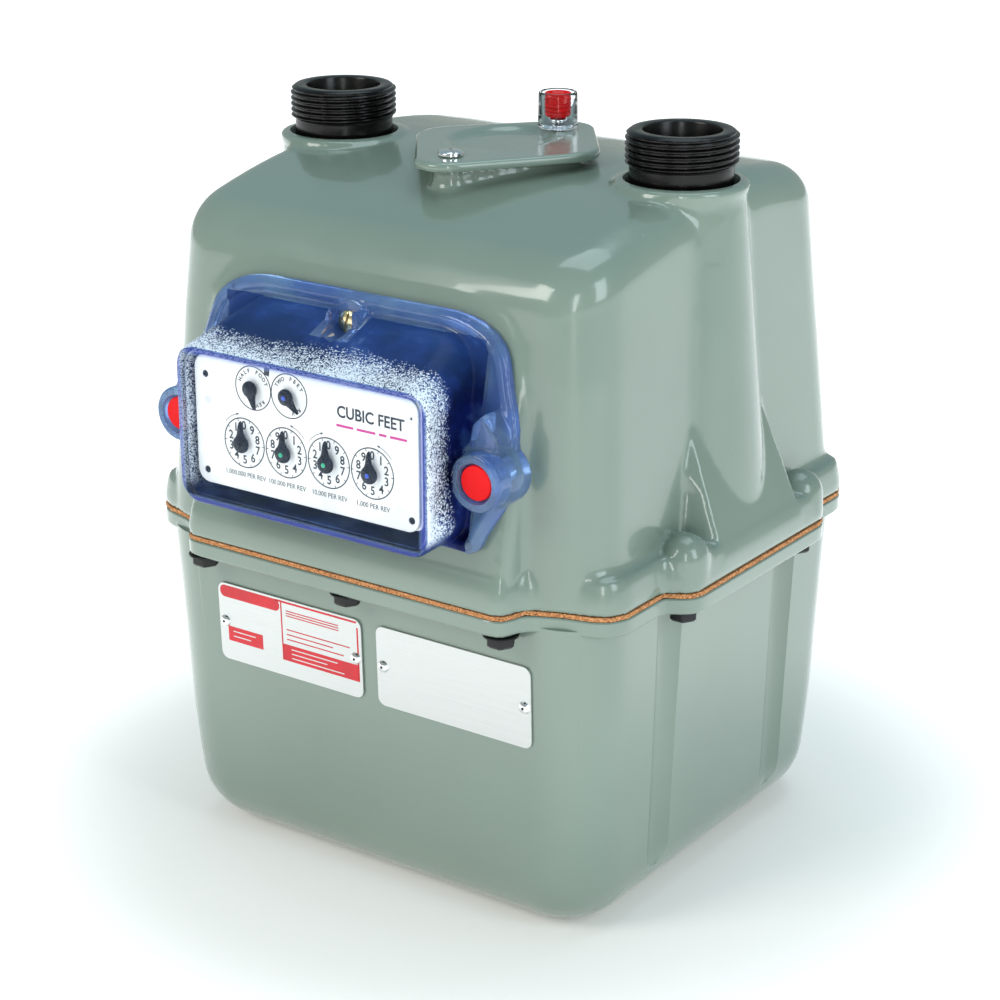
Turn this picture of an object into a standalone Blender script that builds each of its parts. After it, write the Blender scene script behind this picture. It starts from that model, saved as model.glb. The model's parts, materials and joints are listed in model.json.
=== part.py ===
"""A domestic diaphragm gas meter: bolted cast shells, a clear index box with its train, and the works.

Frame: +Z up, the index faces -Y, the inlet is at -X. The origin is the middle of the flat base. Lengths
below are in millimetres and become metres where the meshes are made.
"""

import math

import bmesh
import bpy
from mathutils import Matrix, Vector

MM = 0.001
GAP = 0.3  # between touching neighbours
WALL = 3.0  # of the two cast shells
TURN = 2.0 * math.pi

# The cast shells
HUB_SPACING = 152.4
HUB_X = HUB_SPACING / 2.0
LOWER_TOP = 128.8
LOWER_RIM_BOTTOM = 122.8
GASKET_LOW, GASKET_HIGH = LOWER_TOP + GAP, 130.6
UPPER_LOW = GASKET_HIGH + GAP
UPPER_RIM_TOP = 136.4
LEDGE_TOP = 143.5
BASE_ROUND = 24.0
SHOULDER = 15.0
LOWER_CORNER = 23.0
BASE_CORNER = 33.0
UPPER_CORNER = 21.0
SHOULDER_CORNER = 25.0
COLLAR_TOP = 265.0
COLLAR_RADIUS = 24.0
RECESS_RADIUS = 20.5
NIPPLE_SEAT = 259.0
HUB_HOLE = 18.0
NIPPLE_BORE = 14.0
NIPPLE_TOP = 282.6
NIPPLE_NECK = 18.7
THREAD_CREST = 20.3
THREAD_LOW = 270.5
THREADS = 5

# One quarter of the bolted rim's corners, from the front to the side
RIM_QUARTER = (
    (68.0, 105.0), (71.5, 103.5), (73.0, 100.0), (74.5, 94.0), (86.0, 88.8), (97.0, 86.0),
    (102.5, 82.5), (105.2, 76.0), (105.2, 53.0), (110.5, 50.5), (114.0, 47.5), (115.3, 43.0),
)
BOLT_X, BOLT_Y = 67.5, 98.5
SIDE_BOLT_X, SIDE_BOLT_Y = 106.3, 41.5
BOLT_RADIUS = 3.0
BOLT_END = 139.0
APRON_SLOPE = 0.40

# The access cover on the roof: its outline is wrapped round four circles (x, y, radius)
COVER_LOW, COVER_TOP = 266.5, 270.0
COVER_CIRCLES = ((1.5, -38.0, 12.0), (24.5, 0.0, 14.5), (4.0, 30.5, 13.0), (-18.0, -2.0, 17.5))
COVER_SCREW = (1.5, -36.0)
SEAL_SCREW = (4.5, 28.0)

# The index: a window box on the sloping front plinth, and its dials
WINDOW_Y = -124.0
WINDOW_WALL = 2.2
TUBE_X, TUBE_Z = 66.0, 180.3
TUBE_RADIUS = 10.2
TUBE_FRONT = -112.0
TOP_SCREW_Z = 221.5
DIAL_Z = 178.1
DIAL_PITCH = 19.03
DIAL_X = tuple(-29.3 + DIAL_PITCH * place for place in range(4))
HALF_FOOT = (-24.4, 199.1)
TWO_FEET = (-8.2, 199.1)
FIRST_MODULE = 2.0 * DIAL_PITCH / 66.0
REAR_MODULE = 0.53
FOOT_MODULE = 0.81
DIAL_FRONT, DIAL_BACK = -117.8, -117.2
HAND_LOW, HAND_HIGH = -120.3, -118.1
TIP_END = -120.6
PLATE_FRONT, PLATE_BACK = -116.9, -115.5
REAR_FRONT, REAR_BACK = -102.8, -101.3
LEVELS = {1: -115.0, 2: -113.4, 3: -111.8, 4: -110.2, 5: -107.6, 6: -106.0, 7: -104.4}
GEAR_WIDTH = 1.0
SHAFT = 0.8

# The works inside
WORM_Z = 199.1
WORM_MODULE = 0.42
WORM_TEETH = 28
WORM_RADIUS = -TWO_FEET[0] - WORM_MODULE * WORM_TEETH / 2.0
CRANK_THROW = 8.0
CRANK_RADIUS = 2.0
FLAG_X, FLAG_Y = 78.0, 40.0
DRUM_Z = 68.0
DRUM_RADIUS = 58.0
PAN_RADIUS = 44.0
ARM_LENGTH = 45.0
LINK_LENGTH = 27.0

PAINT = (0.235, 0.315, 0.265)
BLACK = (0.012, 0.012, 0.013)
STEEL = (0.55, 0.55, 0.56)
BRASS = (0.62, 0.46, 0.20)
GREY_RESIN = (0.30, 0.31, 0.33)
FABRIC = (0.10, 0.085, 0.07)


# ------------------------------------------------------------------ helpers
def fresh_scene():
    """An empty scene with one collection for the meter."""
    for old in list(bpy.data.objects):
        bpy.data.objects.remove(old, do_unlink=True)
    meter = bpy.data.collections.new("gas_meter")
    bpy.context.scene.collection.children.link(meter)
    return meter


METER = fresh_scene()


def finish_look(obj, colour, roughness, metallic, alpha=1.0):
    """Gives a finished piece its own material, and smooth shading between its sharp edges."""
    look = bpy.data.materials.new(obj.name)
    look.use_nodes = True
    shader = look.node_tree.nodes["Principled BSDF"]
    shader.inputs["Base Color"].default_value = (*colour, 1.0)
    shader.inputs["Roughness"].default_value = roughness
    shader.inputs["Metallic"].default_value = metallic
    shader.inputs["Alpha"].default_value = alpha
    obj.data.materials.clear()
    obj.data.materials.append(look)
    for face in obj.data.polygons:
        face.use_smooth = True
    obj.data.set_sharp_from_angle(angle=math.radians(32.0))
    return obj


def baked(obj):
    """Turns an object with modifiers, or a curve, into one plain welded mesh object with its normals out."""
    graph = bpy.context.evaluated_depsgraph_get()
    mesh = bpy.data.meshes.new_from_object(obj.evaluated_get(graph))
    mesh.transform(obj.matrix_world)
    name = obj.name
    bpy.data.objects.remove(obj, do_unlink=True)
    solid = bmesh.new()
    solid.from_mesh(mesh)
    bmesh.ops.remove_doubles(solid, verts=solid.verts, dist=1e-7)
    bmesh.ops.recalc_face_normals(solid, faces=solid.faces)
    solid.to_mesh(mesh)
    solid.free()
    made = bpy.data.objects.new(name, mesh)
    METER.objects.link(made)
    return made


def joined(target, tool, operation):
    """Cuts or joins two solids with an exact Boolean and removes the tool."""
    step = target.modifiers.new("Step", "BOOLEAN")
    step.operation = operation
    step.solver = "EXACT"
    step.object = tool
    bpy.context.view_layer.update()
    result = baked(target)
    bpy.data.objects.remove(tool, do_unlink=True)
    return result


def add(target, *tools):
    for tool in tools:
        target = joined(target, tool, "UNION")
    return target


def cut(target, *tools):
    for tool in tools:
        target = joined(target, tool, "DIFFERENCE")
    return target


def loft(name, rings):
    """A closed skin through rings of equal length, capped at both ends."""
    skin = bmesh.new()
    loops = [[skin.verts.new(Vector(point) * MM) for point in ring] for ring in rings]
    for low, high in zip(loops, loops[1:]):
        for here in range(len(low)):
            after = (here + 1) % len(low)
            skin.faces.new((low[here], low[after], high[after], high[here]))
    skin.faces.new(loops[0])
    skin.faces.new(loops[-1])
    bmesh.ops.recalc_face_normals(skin, faces=skin.faces)
    mesh = bpy.data.meshes.new(name)
    skin.to_mesh(mesh)
    skin.free()
    made = bpy.data.objects.new(name, mesh)
    METER.objects.link(made)
    return made


def turned(name, profile, steps=32, axis="Z", at=(0.0, 0.0)):
    """A turned solid from (radius, height) points, round a line along Z at x, y or along Y at x, z."""
    ring = min(radius for radius, _height in profile) > 0.0
    place = (lambda r, h: (r * MM, 0.0, h * MM)) if axis == "Z" else (lambda r, h: (r * MM, h * MM, 0.0))
    edges = [(here, here + 1) for here in range(len(profile) - 1)]
    if ring:
        edges.append((len(profile) - 1, 0))
    mesh = bpy.data.meshes.new(name)
    mesh.from_pydata([place(*point) for point in profile], edges, [])
    made = bpy.data.objects.new(name, mesh)
    METER.objects.link(made)
    made.location = (at[0] * MM, at[1] * MM, 0.0) if axis == "Z" else (at[0] * MM, 0.0, at[1] * MM)
    screw = made.modifiers.new("Turn", "SCREW")
    screw.axis = axis
    screw.steps = steps
    screw.render_steps = steps
    screw.use_merge_vertices = True
    screw.merge_threshold = 1e-6
    bpy.context.view_layer.update()
    return baked(made)


def rod(name, radius, low, high, steps=16, axis="Z", at=(0.0, 0.0)):
    """A plain round bar."""
    return turned(name, ((0.0, high), (radius, high), (radius, low), (0.0, low)), steps, axis, at)


def plate(name, outline, low, high, plane="XY", holes=()):
    """A flat plate from a closed outline and hole outlines, between two heights on Z, or two places on Y."""
    curve = bpy.data.curves.new(name, "CURVE")
    curve.dimensions = "2D"
    curve.fill_mode = "BOTH"
    curve.extrude = abs(high - low) / 2.0 * MM
    for loop in (outline, *holes):
        spline = curve.splines.new("POLY")
        spline.points.add(len(loop) - 1)
        spline.use_cyclic_u = True
        for point, (across, up) in zip(spline.points, loop):
            point.co = (across * MM, up * MM, 0.0, 1.0)
    made = bpy.data.objects.new(name, curve)
    METER.objects.link(made)
    middle = (low + high) / 2.0 * MM
    if plane == "XY":
        made.location = (0.0, 0.0, middle)
    else:
        made.location = (0.0, middle, 0.0)
        made.rotation_euler = (math.pi / 2.0, 0.0, 0.0)
    bpy.context.view_layer.update()
    return baked(made)


def block(name, low, high):
    """A box between two corners."""
    solid = bmesh.new()
    bmesh.ops.create_cube(solid, size=1.0)
    mesh = bpy.data.meshes.new(name)
    solid.to_mesh(mesh)
    solid.free()
    size = [(b - a) * MM for a, b in zip(low, high)]
    middle = [(a + b) / 2.0 * MM for a, b in zip(low, high)]
    mesh.transform(Matrix.Translation(middle) @ Matrix.Diagonal((*size, 1.0)))
    made = bpy.data.objects.new(name, mesh)
    METER.objects.link(made)
    return made


def circle(radius, at=(0.0, 0.0), count=16, start=0.17):
    angles = [start + TURN * k / count for k in range(count)]
    return [(at[0] + radius * math.cos(angle), at[1] + radius * math.sin(angle)) for angle in angles]


def slot(inner, outer, first, last, at=(0.0, 0.0), count=6):
    """A kidney-shaped hole between two radii and two angles in degrees."""
    angles = [math.radians(first + (last - first) * k / count) for k in range(count + 1)]
    out = [(at[0] + outer * math.cos(a), at[1] + outer * math.sin(a)) for a in angles]
    back = [(at[0] + inner * math.cos(a), at[1] + inner * math.sin(a)) for a in reversed(angles)]
    return out + back


def rounded_box(low, high, radius, count=4):
    """A rectangle with round corners, as points."""
    points = []
    corners = ((high[0], high[1]), (low[0], high[1]), (low[0], low[1]), (high[0], low[1]))
    for quarter, (x, y) in enumerate(corners):
        cx = x - radius if x == high[0] else x + radius
        cy = y - radius if y == high[1] else y + radius
        for k in range(count + 1):
            angle = (quarter + k / count) * math.pi / 2.0
            points.append((cx + radius * math.cos(angle), cy + radius * math.sin(angle)))
    return points


def wrapped(circles, offset=0.0, count=48):
    """The outline of a band stretched round some circles, each grown by offset."""
    points = []
    for k in range(count):
        way = Vector((math.cos(TURN * k / count), math.sin(TURN * k / count)))
        reach = [Vector((x, y)).dot(way) + radius + offset for x, y, radius in circles]
        x, y, radius = circles[reach.index(max(reach))]
        points.append((x + way.x * (radius + offset), y + way.y * (radius + offset)))
    return points


def four_ways(quarter):
    """Mirrors a quarter outline into a whole loop."""
    right = [(x, -y) for x, y in quarter] + [(x, y) for x, y in reversed(quarter)]
    left = [(-x, y) for x, y in reversed(right)]
    return right + left


RIM = four_ways(RIM_QUARTER)


def origin_at(obj, point):
    """Moves an object's origin to a point, without moving its shape."""
    place = Vector(point) * MM
    obj.data.transform(Matrix.Translation(-place))
    obj.location = place
    return obj


def axis_at(name, point):
    """An empty on a joint's axis, for the pieces that move with it."""
    empty = bpy.data.objects.new(name, None)
    empty.empty_display_size = 0.01
    empty.location = Vector(point) * MM
    METER.objects.link(empty)
    return empty


def hang_on(empty, *pieces):
    """Parents pieces to an empty and puts their origins on it."""
    for piece in pieces:
        piece.data.transform(Matrix.Translation(-empty.location))
        piece.parent = empty


# ------------------------------------------------------------------ the cast shells
def lower_half(z):
    return 101.5 - 0.034 * (130.0 - z), 92.0 - 0.034 * (130.0 - z)


def upper_half(z):
    return 100.1 - 0.062 * (z - 130.0), 91.7 - 0.062 * (z - 130.0)


def roof(y):
    return 264.0 - 0.00166 * (y - 15.0) ** 2


def plinth_y(z):
    """The sloping front face that carries the index."""
    return -(104.8 - 0.19 * (z - 131.0))


def shell_ring(half_x, half_y, radius, height, corner=3, side=2):
    """A rounded rectangle with points along its straight sides; height is a number or a function of y."""
    flat = []
    signs = ((1.0, 1.0), (-1.0, 1.0), (-1.0, -1.0), (1.0, -1.0))
    for quarter, (sx, sy) in enumerate(signs):
        centre = (sx * (half_x - radius), sy * (half_y - radius))
        for k in range(corner + 1):
            angle = (quarter + k / corner) * math.pi / 2.0
            flat.append((centre[0] + radius * math.cos(angle), centre[1] + radius * math.sin(angle)))
        nx, ny = signs[(quarter + 1) % 4]
        angle = (quarter + 1) * math.pi / 2.0
        after = (
            nx * (half_x - radius) + radius * math.cos(angle),
            ny * (half_y - radius) + radius * math.sin(angle),
        )
        here = flat[-1]
        for k in range(1, side + 1):
            share = k / (side + 1)
            flat.append(tuple(a + (b - a) * share for a, b in zip(here, after)))
    return [(x, y, height(y) if callable(height) else height) for x, y in flat]


def lower_rings(inset, floor, top):
    """Rings of the lower shell, or of its hollow when inset is the wall."""
    rings = []
    bend = BASE_ROUND - inset
    steps = 4
    for k in range(steps + 1):
        angle = math.pi / 2.0 * k / steps
        z = floor + bend * (1.0 - math.cos(angle))
        half_x, half_y = lower_half(z)
        back = bend * (1.0 - math.sin(angle)) + inset
        rings.append(shell_ring(half_x - back, half_y - back, BASE_CORNER - back, z))
    half_x, half_y = lower_half(top)
    rings.append(shell_ring(half_x - inset, half_y - inset, LOWER_CORNER - inset, top))
    return rings


def upper_rings(inset, low):
    """Rings of the upper shell up its wall, over its shoulder and across its crowned roof."""
    rings = []
    for z, corner in ((low, UPPER_CORNER), (180.0, UPPER_CORNER + 2.0)):
        half_x, half_y = upper_half(z)
        rings.append(shell_ring(half_x - inset, half_y - inset, corner - inset, z))
    half_x, half_y = upper_half(237.0)
    bend = SHOULDER - inset
    steps = 4
    for k in range(steps + 1):
        angle = math.pi / 2.0 * k / steps
        back = inset + bend * (1.0 - math.cos(angle))
        drop = inset + bend * (1.0 - math.sin(angle))
        corner = SHOULDER_CORNER - back
        rings.append(shell_ring(half_x - back, half_y - back, corner, lambda y, drop=drop: roof(y) - drop))
    last = rings[-1]
    for share in (0.6, 0.2):
        rings.append([(x * share, y * share, roof(y * share) - inset) for x, y, _z in last])
    return rings


def wall_point(x, y, z, inset):
    """The nearest point of the upper wall to a point outside it."""
    half_x, half_y = upper_half(z)
    radius = UPPER_CORNER
    cx = max(-half_x + radius, min(half_x - radius, x))
    cy = max(-half_y + radius, min(half_y - radius, y))
    way = Vector((x - cx, y - cy)).normalized()
    return cx + way.x * (radius - inset), cy + way.y * (radius - inset), z


def plinth(name, side):
    """The drafted wedge on the front (side -1) or the back (side 1)."""
    rings = []
    levels = (
        (UPPER_LOW + 1.0, 71.5), (200.0, 71.0), (218.0, 70.0),
        (226.0, 66.0), (232.0, 58.0), (237.0, 45.0),
    )
    for z, half in levels:
        face = -plinth_y(z)
        back = 80.0
        points = ((half + 5.0, back), (half, face - 2.5), (half - 2.5, face))
        loop = list(points) + [(-x, y) for x, y in reversed(points)]
        rings.append([(x, side * y, z) for x, y in loop])
    return loft(name, rings)


def apron(name, side):
    """The leaning buttress under a pilaster."""
    rings = []
    for z in (UPPER_LOW + 1.0, 137.0, 160.0, 184.0):
        face = 115.3 - APRON_SLOPE * max(z - 137.0, 0.0)
        half = 30.0 - 0.09 * max(z - 137.0, 0.0)
        points = ((88.0, half + 6.0), (face - 3.0, half), (face, half - 2.5))
        loop = list(points) + [(x, -y) for x, y in reversed(points)]
        rings.append([(side * x, y, z) for x, y in loop])
    return loft(name, rings)


def pilaster_radius(z):
    return 23.7 + 0.094 * (258.0 - z)


def make_lower_case():
    body = loft("lower_case", lower_rings(0.0, 0.0, LOWER_RIM_BOTTOM + 2.0))
    body = add(body, plate("rim", RIM, LOWER_RIM_BOTTOM, LOWER_TOP))
    body = cut(body, loft("hollow", lower_rings(WALL, WALL, LOWER_TOP + 1.0)))
    for x in (-SIDE_BOLT_X, SIDE_BOLT_X):
        for y in (-SIDE_BOLT_Y, SIDE_BOLT_Y):
            bulge = rod("bulge", 13.2, 12.0, LOWER_TOP - 4.0, 24, at=(x, y))
            near, far = sorted((x, 0.92 * x))
            strip = block("strip", (near, y - 14.0, 8.0), (far, y + 14.0, LOWER_TOP - 3.0))
            bulge = joined(bulge, strip, "INTERSECT")
            inner = loft("inner", lower_rings(0.5, 0.5, LOWER_TOP - 2.0))
            body = add(body, joined(bulge, inner, "INTERSECT"))
            groove = ((0.0, 122.9), (9.7, 122.9), (10.6, 26.0), (8.5, 18.0), (4.0, 14.0), (0.0, 13.0))
            body = cut(body, turned("groove", groove, 24, at=(x, y)))
    for x, y in bolt_places():
        hole = rod("hole", BOLT_RADIUS + GAP, LOWER_RIM_BOTTOM - 1.0, LOWER_TOP + 1.0, 8, at=(x, y))
        body = cut(body, hole)
    return finish_look(body, PAINT, 0.25, 0.0)


def bolt_places():
    front = [(x, -BOLT_Y) for x in (-BOLT_X, 0.0, BOLT_X)]
    back = [(x, BOLT_Y) for x in (-BOLT_X, 0.0, BOLT_X)]
    sides = [(x, y) for x in (-SIDE_BOLT_X, SIDE_BOLT_X) for y in (-SIDE_BOLT_Y, SIDE_BOLT_Y)]
    return front + back + sides


def make_upper_case():
    ledge = loft(
        "ledge",
        [
            [(x, y, UPPER_LOW) for x, y in RIM],
            [(x, y, UPPER_RIM_TOP) for x, y in RIM],
            [wall_point(x, y, LEDGE_TOP, 0.6) for x, y in RIM],
        ],
    )
    body = add(loft("upper_case", upper_rings(0.0, UPPER_LOW + 0.8)), ledge)
    body = add(body, plinth("front_plinth", -1.0), plinth("back_plinth", 1.0))
    for side in (-1.0, 1.0):
        body = add(body, apron("apron", side))
        cone = ((0.0, 256.0), (pilaster_radius(256.0), 256.0), (pilaster_radius(140.0), 140.0), (0.0, 140.0))
        body = add(body, turned("pilaster", cone, 22, at=(side * HUB_X, 0.0)))
        for y in (-SIDE_BOLT_Y, SIDE_BOLT_Y):
            dome = ((0.0, 150.0), (3.5, 149.3), (6.6, 146.6), (8.6, 142.0), (9.0, 134.0), (0.0, 134.0))
            body = add(body, turned("dome", dome, 10, at=(side * SIDE_BOLT_X, y)))
    body = cut(body, loft("hollow", upper_rings(WALL, UPPER_LOW - 1.0)))
    for side in (-1.0, 1.0):
        wide, narrow = pilaster_radius(166.0) - WALL, pilaster_radius(252.0) - WALL
        inner = ((0.0, 252.0), (narrow, 252.0), (wide, 166.0), (0.0, 158.0))
        hub = (side * HUB_X, 0.0)
        body = cut(body, turned("flue", inner, 16, at=hub))
        lip = (
            (0.0, COLLAR_TOP), (COLLAR_RADIUS - 0.8, COLLAR_TOP), (COLLAR_RADIUS + 0.3, 263.8),
            (COLLAR_RADIUS + 0.3, 262.0), (23.6, 260.6), (23.6, 240.0), (0.0, 240.0),
        )
        body = add(body, turned("collar", lip, 26, at=hub))
        body = cut(body, rod("recess", RECESS_RADIUS, NIPPLE_SEAT, COLLAR_TOP + 1.0, 20, at=hub))
        body = cut(body, rod("hub_hole", HUB_HOLE, 238.0, NIPPLE_SEAT + 1.0, 20, at=hub))
    body = add(body, plate("curb", wrapped(COVER_CIRCLES, -7.5, 24), 254.0, COVER_LOW - GAP))
    body = add(body, rod("post", 6.5, 252.0, COVER_LOW - GAP, 14, at=COVER_SCREW))
    opening = ((21.0, 0.0, 5.0), (3.0, 12.0, 5.0), (-14.0, -2.0, 7.0), (3.0, -18.0, 5.0))
    body = cut(body, plate("access", wrapped(opening, 0.0, 16), 240.0, COVER_TOP))
    for x, y in (COVER_SCREW, SEAL_SCREW):
        body = cut(body, rod("tap", 2.3, 260.5, COVER_TOP, 8, at=(x, y)))
    for x, y in bolt_places():
        body = cut(body, rod("hole", BOLT_RADIUS + GAP, UPPER_LOW - 1.0, BOLT_END + 1.0, 8, at=(x, y)))
    body = cut(body, rod("index_tap", 2.3, -99.0, -84.0, 8, "Y", (0.0, TOP_SCREW_Z)))
    for x in (-TUBE_X, TUBE_X):
        body = cut(body, rod("index_tap", 2.3, -99.0, -87.5, 8, "Y", (x, TUBE_Z)))
    body = cut(body, rod("axle_hole", 5.3, -99.0, -75.0, 14, "Y", TWO_FEET))
    return finish_look(body, PAINT, 0.25, 0.0)


def make_case_gasket():
    hole = [(x, y) for x, y, _z in shell_ring(96.0, 88.0, 18.0, 0.0, side=0)]
    holes = [circle(BOLT_RADIUS + GAP, at, 8) for at in bolt_places()]
    outline = [(x * 0.997, y * 0.997) for x, y in RIM]
    gasket = plate("case_gasket", outline, GASKET_LOW, GASKET_HIGH, holes=[hole, *holes])
    return finish_look(gasket, (0.42, 0.21, 0.09), 0.9, 0.0)


def make_bolt(number, x, y):
    seat = LOWER_RIM_BOTTOM - GAP
    head = (
        (0.0, BOLT_END), (BOLT_RADIUS, BOLT_END), (BOLT_RADIUS, seat), (6.5, seat),
        (6.5, 121.3), (5.0, 121.2), (5.0, 117.8), (0.0, 117.8),
    )
    bolt = turned(f"flange_bolt_{number:02d}", head, 8, at=(x, y))
    return finish_look(bolt, BLACK, 0.35, 0.3)


def make_nipple(name, side):
    """A threaded pipe nipple: its collar end stands in the hub, its thread turns up out of it."""
    pitch = (NIPPLE_TOP - THREAD_LOW) / (THREADS + 1)
    profile = [(NIPPLE_BORE, NIPPLE_TOP), (18.6, NIPPLE_TOP)]
    for k in range(THREADS):
        high = NIPPLE_TOP - 1.2 - k * pitch
        profile += [(THREAD_CREST, high - 0.25 * pitch), (THREAD_CREST - 1.2, high - 0.85 * pitch)]
    seat = NIPPLE_SEAT + GAP
    profile += [(NIPPLE_NECK, THREAD_LOW), (NIPPLE_NECK, seat), (HUB_HOLE - GAP, seat)]
    profile += [(HUB_HOLE - GAP, 246.0), (NIPPLE_BORE, 246.0)]
    nipple = turned(name, profile, 22, at=(side * HUB_X, 0.0))
    return finish_look(nipple, BLACK, 0.3, 0.2)


def make_cover():
    cover = plate("access_cover", wrapped(COVER_CIRCLES, 0.0, 40), COVER_LOW, COVER_TOP)
    dish = turned("dish", ((0.0, 271.0), (24.0, 271.0), (18.0, 268.9), (0.0, 268.4)), 20)
    dish.data.transform(Matrix.Diagonal((0.80, 1.0, 1.0, 1.0)))
    dish.location = (-3.0 * MM, 2.0 * MM, 0.0)
    bpy.context.view_layer.update()
    cover = cut(cover, dish)
    for at in (COVER_SCREW, SEAL_SCREW):
        cover = cut(cover, rod("hole", 2.4, COVER_LOW - 1.0, COVER_TOP + 1.0, 8, at=at))
    return finish_look(cover, PAINT, 0.2, 0.0)


def make_cover_screws():
    low = COVER_TOP + GAP
    head = ((0.0, 272.4), (3.4, 272.1), (4.65, 271.2), (4.65, low), (2.0, low), (2.0, 261.2), (0.0, 261.2))
    screw = turned("cover_screw", head, 14, at=COVER_SCREW)
    x, y = COVER_SCREW
    driver_slot = block("slot", (x - 0.5, y - 6.0, 271.3), (x + 0.5, y + 6.0, 274.0))
    finish_look(cut(screw, driver_slot), STEEL, 0.2, 1.0)
    seat = low + 1.5 + GAP
    head = ((0.0, seat + 2.0), (3.4, seat + 1.9), (3.6, seat), (2.0, seat), (2.0, 261.2), (0.0, 261.2))
    finish_look(turned("seal_screw", head, 12, at=SEAL_SCREW), STEEL, 0.2, 1.0)
    outside = ((7.2, 283.9), (7.5, 283.5), (7.5, low), (2.4, low))
    cup = (*outside, (2.4, low + 1.5), (6.1, low + 1.5), (6.1, 283.5), (6.4, 283.9))
    finish_look(turned("seal_cup", cup, 16, at=SEAL_SCREW), (0.85, 0.88, 0.92), 0.1, 0.0, 0.4)
    plug = [(0.0, 283.6), (4.6, 283.6)]
    for k in range(3):
        high = 283.0 - 2.8 * k
        plug += [(5.1, high), (5.1, high - 1.1), (4.3, high - 1.4), (4.3, high - 1.9)]
    plug += [(3.2, 274.5), (0.0, 274.5)]
    finish_look(turned("seal_plug", plug, 14, at=SEAL_SCREW), (0.75, 0.02, 0.03), 0.35, 0.0)


# ------------------------------------------------------------------ the index box
def window_ring(half_low, half_high, low, high, radius, y_of):
    """A ring round the window box, wider below than above, in the XZ plane or leaning with y_of(z)."""
    ring = []
    for x, z in rounded_box((-60.0, low), (60.0, high), radius):
        share = (z - low) / (high - low)
        half = half_low + (half_high - half_low) * share
        x = math.copysign(abs(x) - 60.0 + half, x)
        ring.append((x, y_of(z), z))
    return ring


RIM_PLATE_HALF = (
    (0.0, 231.0), (43.0, 231.0), (53.0, 229.0), (60.5, 225.0), (65.0, 219.5), (68.0, 208.0), (71.0, 200.0),
    (73.0, 190.0), (72.0, 171.5), (63.5, 157.5), (62.5, 153.5), (58.7, 151.0), (54.5, 151.5), (0.0, 151.5),
)


def make_index_cover():
    right = list(RIM_PLATE_HALF)
    outline = right + [(-x, z) for x, z in reversed(right[1:-1])]
    rim = loft(
        "index_cover",
        [[(x, plinth_y(z) - GAP, z) for x, z in outline], [(x, plinth_y(z) - 3.3, z) for x, z in outline]],
    )
    box = loft(
        "box",
        [
            window_ring(54.3, 54.3, 154.7, 210.8, 8.0, lambda z: WINDOW_Y),
            window_ring(55.5, 55.5, 153.5, 212.0, 8.0, lambda z: WINDOW_Y + 1.2),
            window_ring(57.0, 51.0, 152.5, 225.5, 14.0, lambda z: plinth_y(z) - 1.5),
        ],
    )
    inside = loft(
        "inside",
        [
            window_ring(53.3, 53.3, 155.7, 209.8, 6.0, lambda z: WINDOW_Y + WINDOW_WALL),
            window_ring(54.8, 48.8, 154.7, 223.3, 12.0, lambda z: plinth_y(z) + 2.0),
        ],
    )
    body = add(rim, box)
    for x in (-TUBE_X, TUBE_X):
        body = add(body, rod("tube", TUBE_RADIUS, TUBE_FRONT, -97.5, 18, "Y", (x, TUBE_Z)))
    body = cut(body, inside)
    groove = rod("groove", 5.2, -130.0, -93.5, 20, "Y", (0.0, TOP_SCREW_Z))
    trench = block("trench", (-5.2, -130.0, TOP_SCREW_Z), (5.2, -93.5, 240.0))
    boss = rod("boss", 7.0, -110.0, -88.6, 24, "Y", (0.0, TOP_SCREW_Z))
    slope = loft("slope", [window_ring(54.0, 50.0, 154.5, 211.0, 8.0, lambda z: WINDOW_Y + 2.0),
                           window_ring(56.0, 50.0, 153.5, 224.5, 14.0, lambda z: plinth_y(z) - 1.0)])
    boss = joined(boss, slope, "INTERSECT")
    body = add(body, boss)
    body = cut(body, groove, trench, rod("hole", 2.4, -94.0, -84.0, 12, "Y", (0.0, TOP_SCREW_Z)))
    for x in (-TUBE_X, TUBE_X):
        body = cut(body, rod("well", 6.8, TUBE_FRONT - 1.0, -102.0, 20, "Y", (x, TUBE_Z)))
        body = cut(body, rod("hole", 2.4, -103.0, -90.0, 12, "Y", (x, TUBE_Z)))
    return finish_look(body, (0.25, 0.35, 0.75), 0.08, 0.0, 0.35)


def make_index_screws():
    head = ((0.0, -95.8), (3.2, -95.6), (4.2, -95.0), (4.2, -93.8), (2.0, -93.8), (2.0, -84.6), (0.0, -84.6))
    screw = turned("index_top_screw", head, 20, "Y", (0.0, TOP_SCREW_Z))
    screw = cut(screw, block("slot", (-0.45, -97.0, TOP_SCREW_Z - 6.0), (0.45, -95.0, TOP_SCREW_Z + 6.0)))
    finish_look(screw, BRASS, 0.25, 1.0)
    for side, x in (("left", -TUBE_X), ("right", TUBE_X)):
        head = ((0.0, -105.0), (4.5, -105.0), (4.5, -102.3), (2.0, -102.3), (2.0, -88.2), (0.0, -88.2))
        finish_look(turned(f"index_side_screw_{side}", head, 12, "Y", (x, TUBE_Z)), STEEL, 0.3, 1.0)
        disc = ((0.0, -110.9), (5.8, -110.9), (6.3, -110.4), (6.3, -108.2), (0.0, -108.2))
        finish_look(turned(f"index_plug_{side}", disc, 16, "Y", (x, TUBE_Z)), (0.8, 0.02, 0.02), 0.4, 0.0)


def arbor_places():
    """Where the eight arbors stand: four dial arbors, two test arbors and the two between them."""
    hundred = (DIAL_X[3], DIAL_Z + 33.0 * REAR_MODULE)
    reach_t, reach_h = 36.0 * REAR_MODULE, 33.0 * REAR_MODULE
    away = Vector(hundred) - Vector(TWO_FEET)
    along = (away.length**2 + reach_t**2 - reach_h**2) / (2.0 * away.length)
    off = math.sqrt(max(reach_t**2 - along**2, 0.0))
    way = away.normalized()
    ten = Vector(TWO_FEET) + way * along + Vector((way.y, -way.x)) * off
    return hundred, (ten.x, ten.y)


HUNDRED, TEN = arbor_places()


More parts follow.
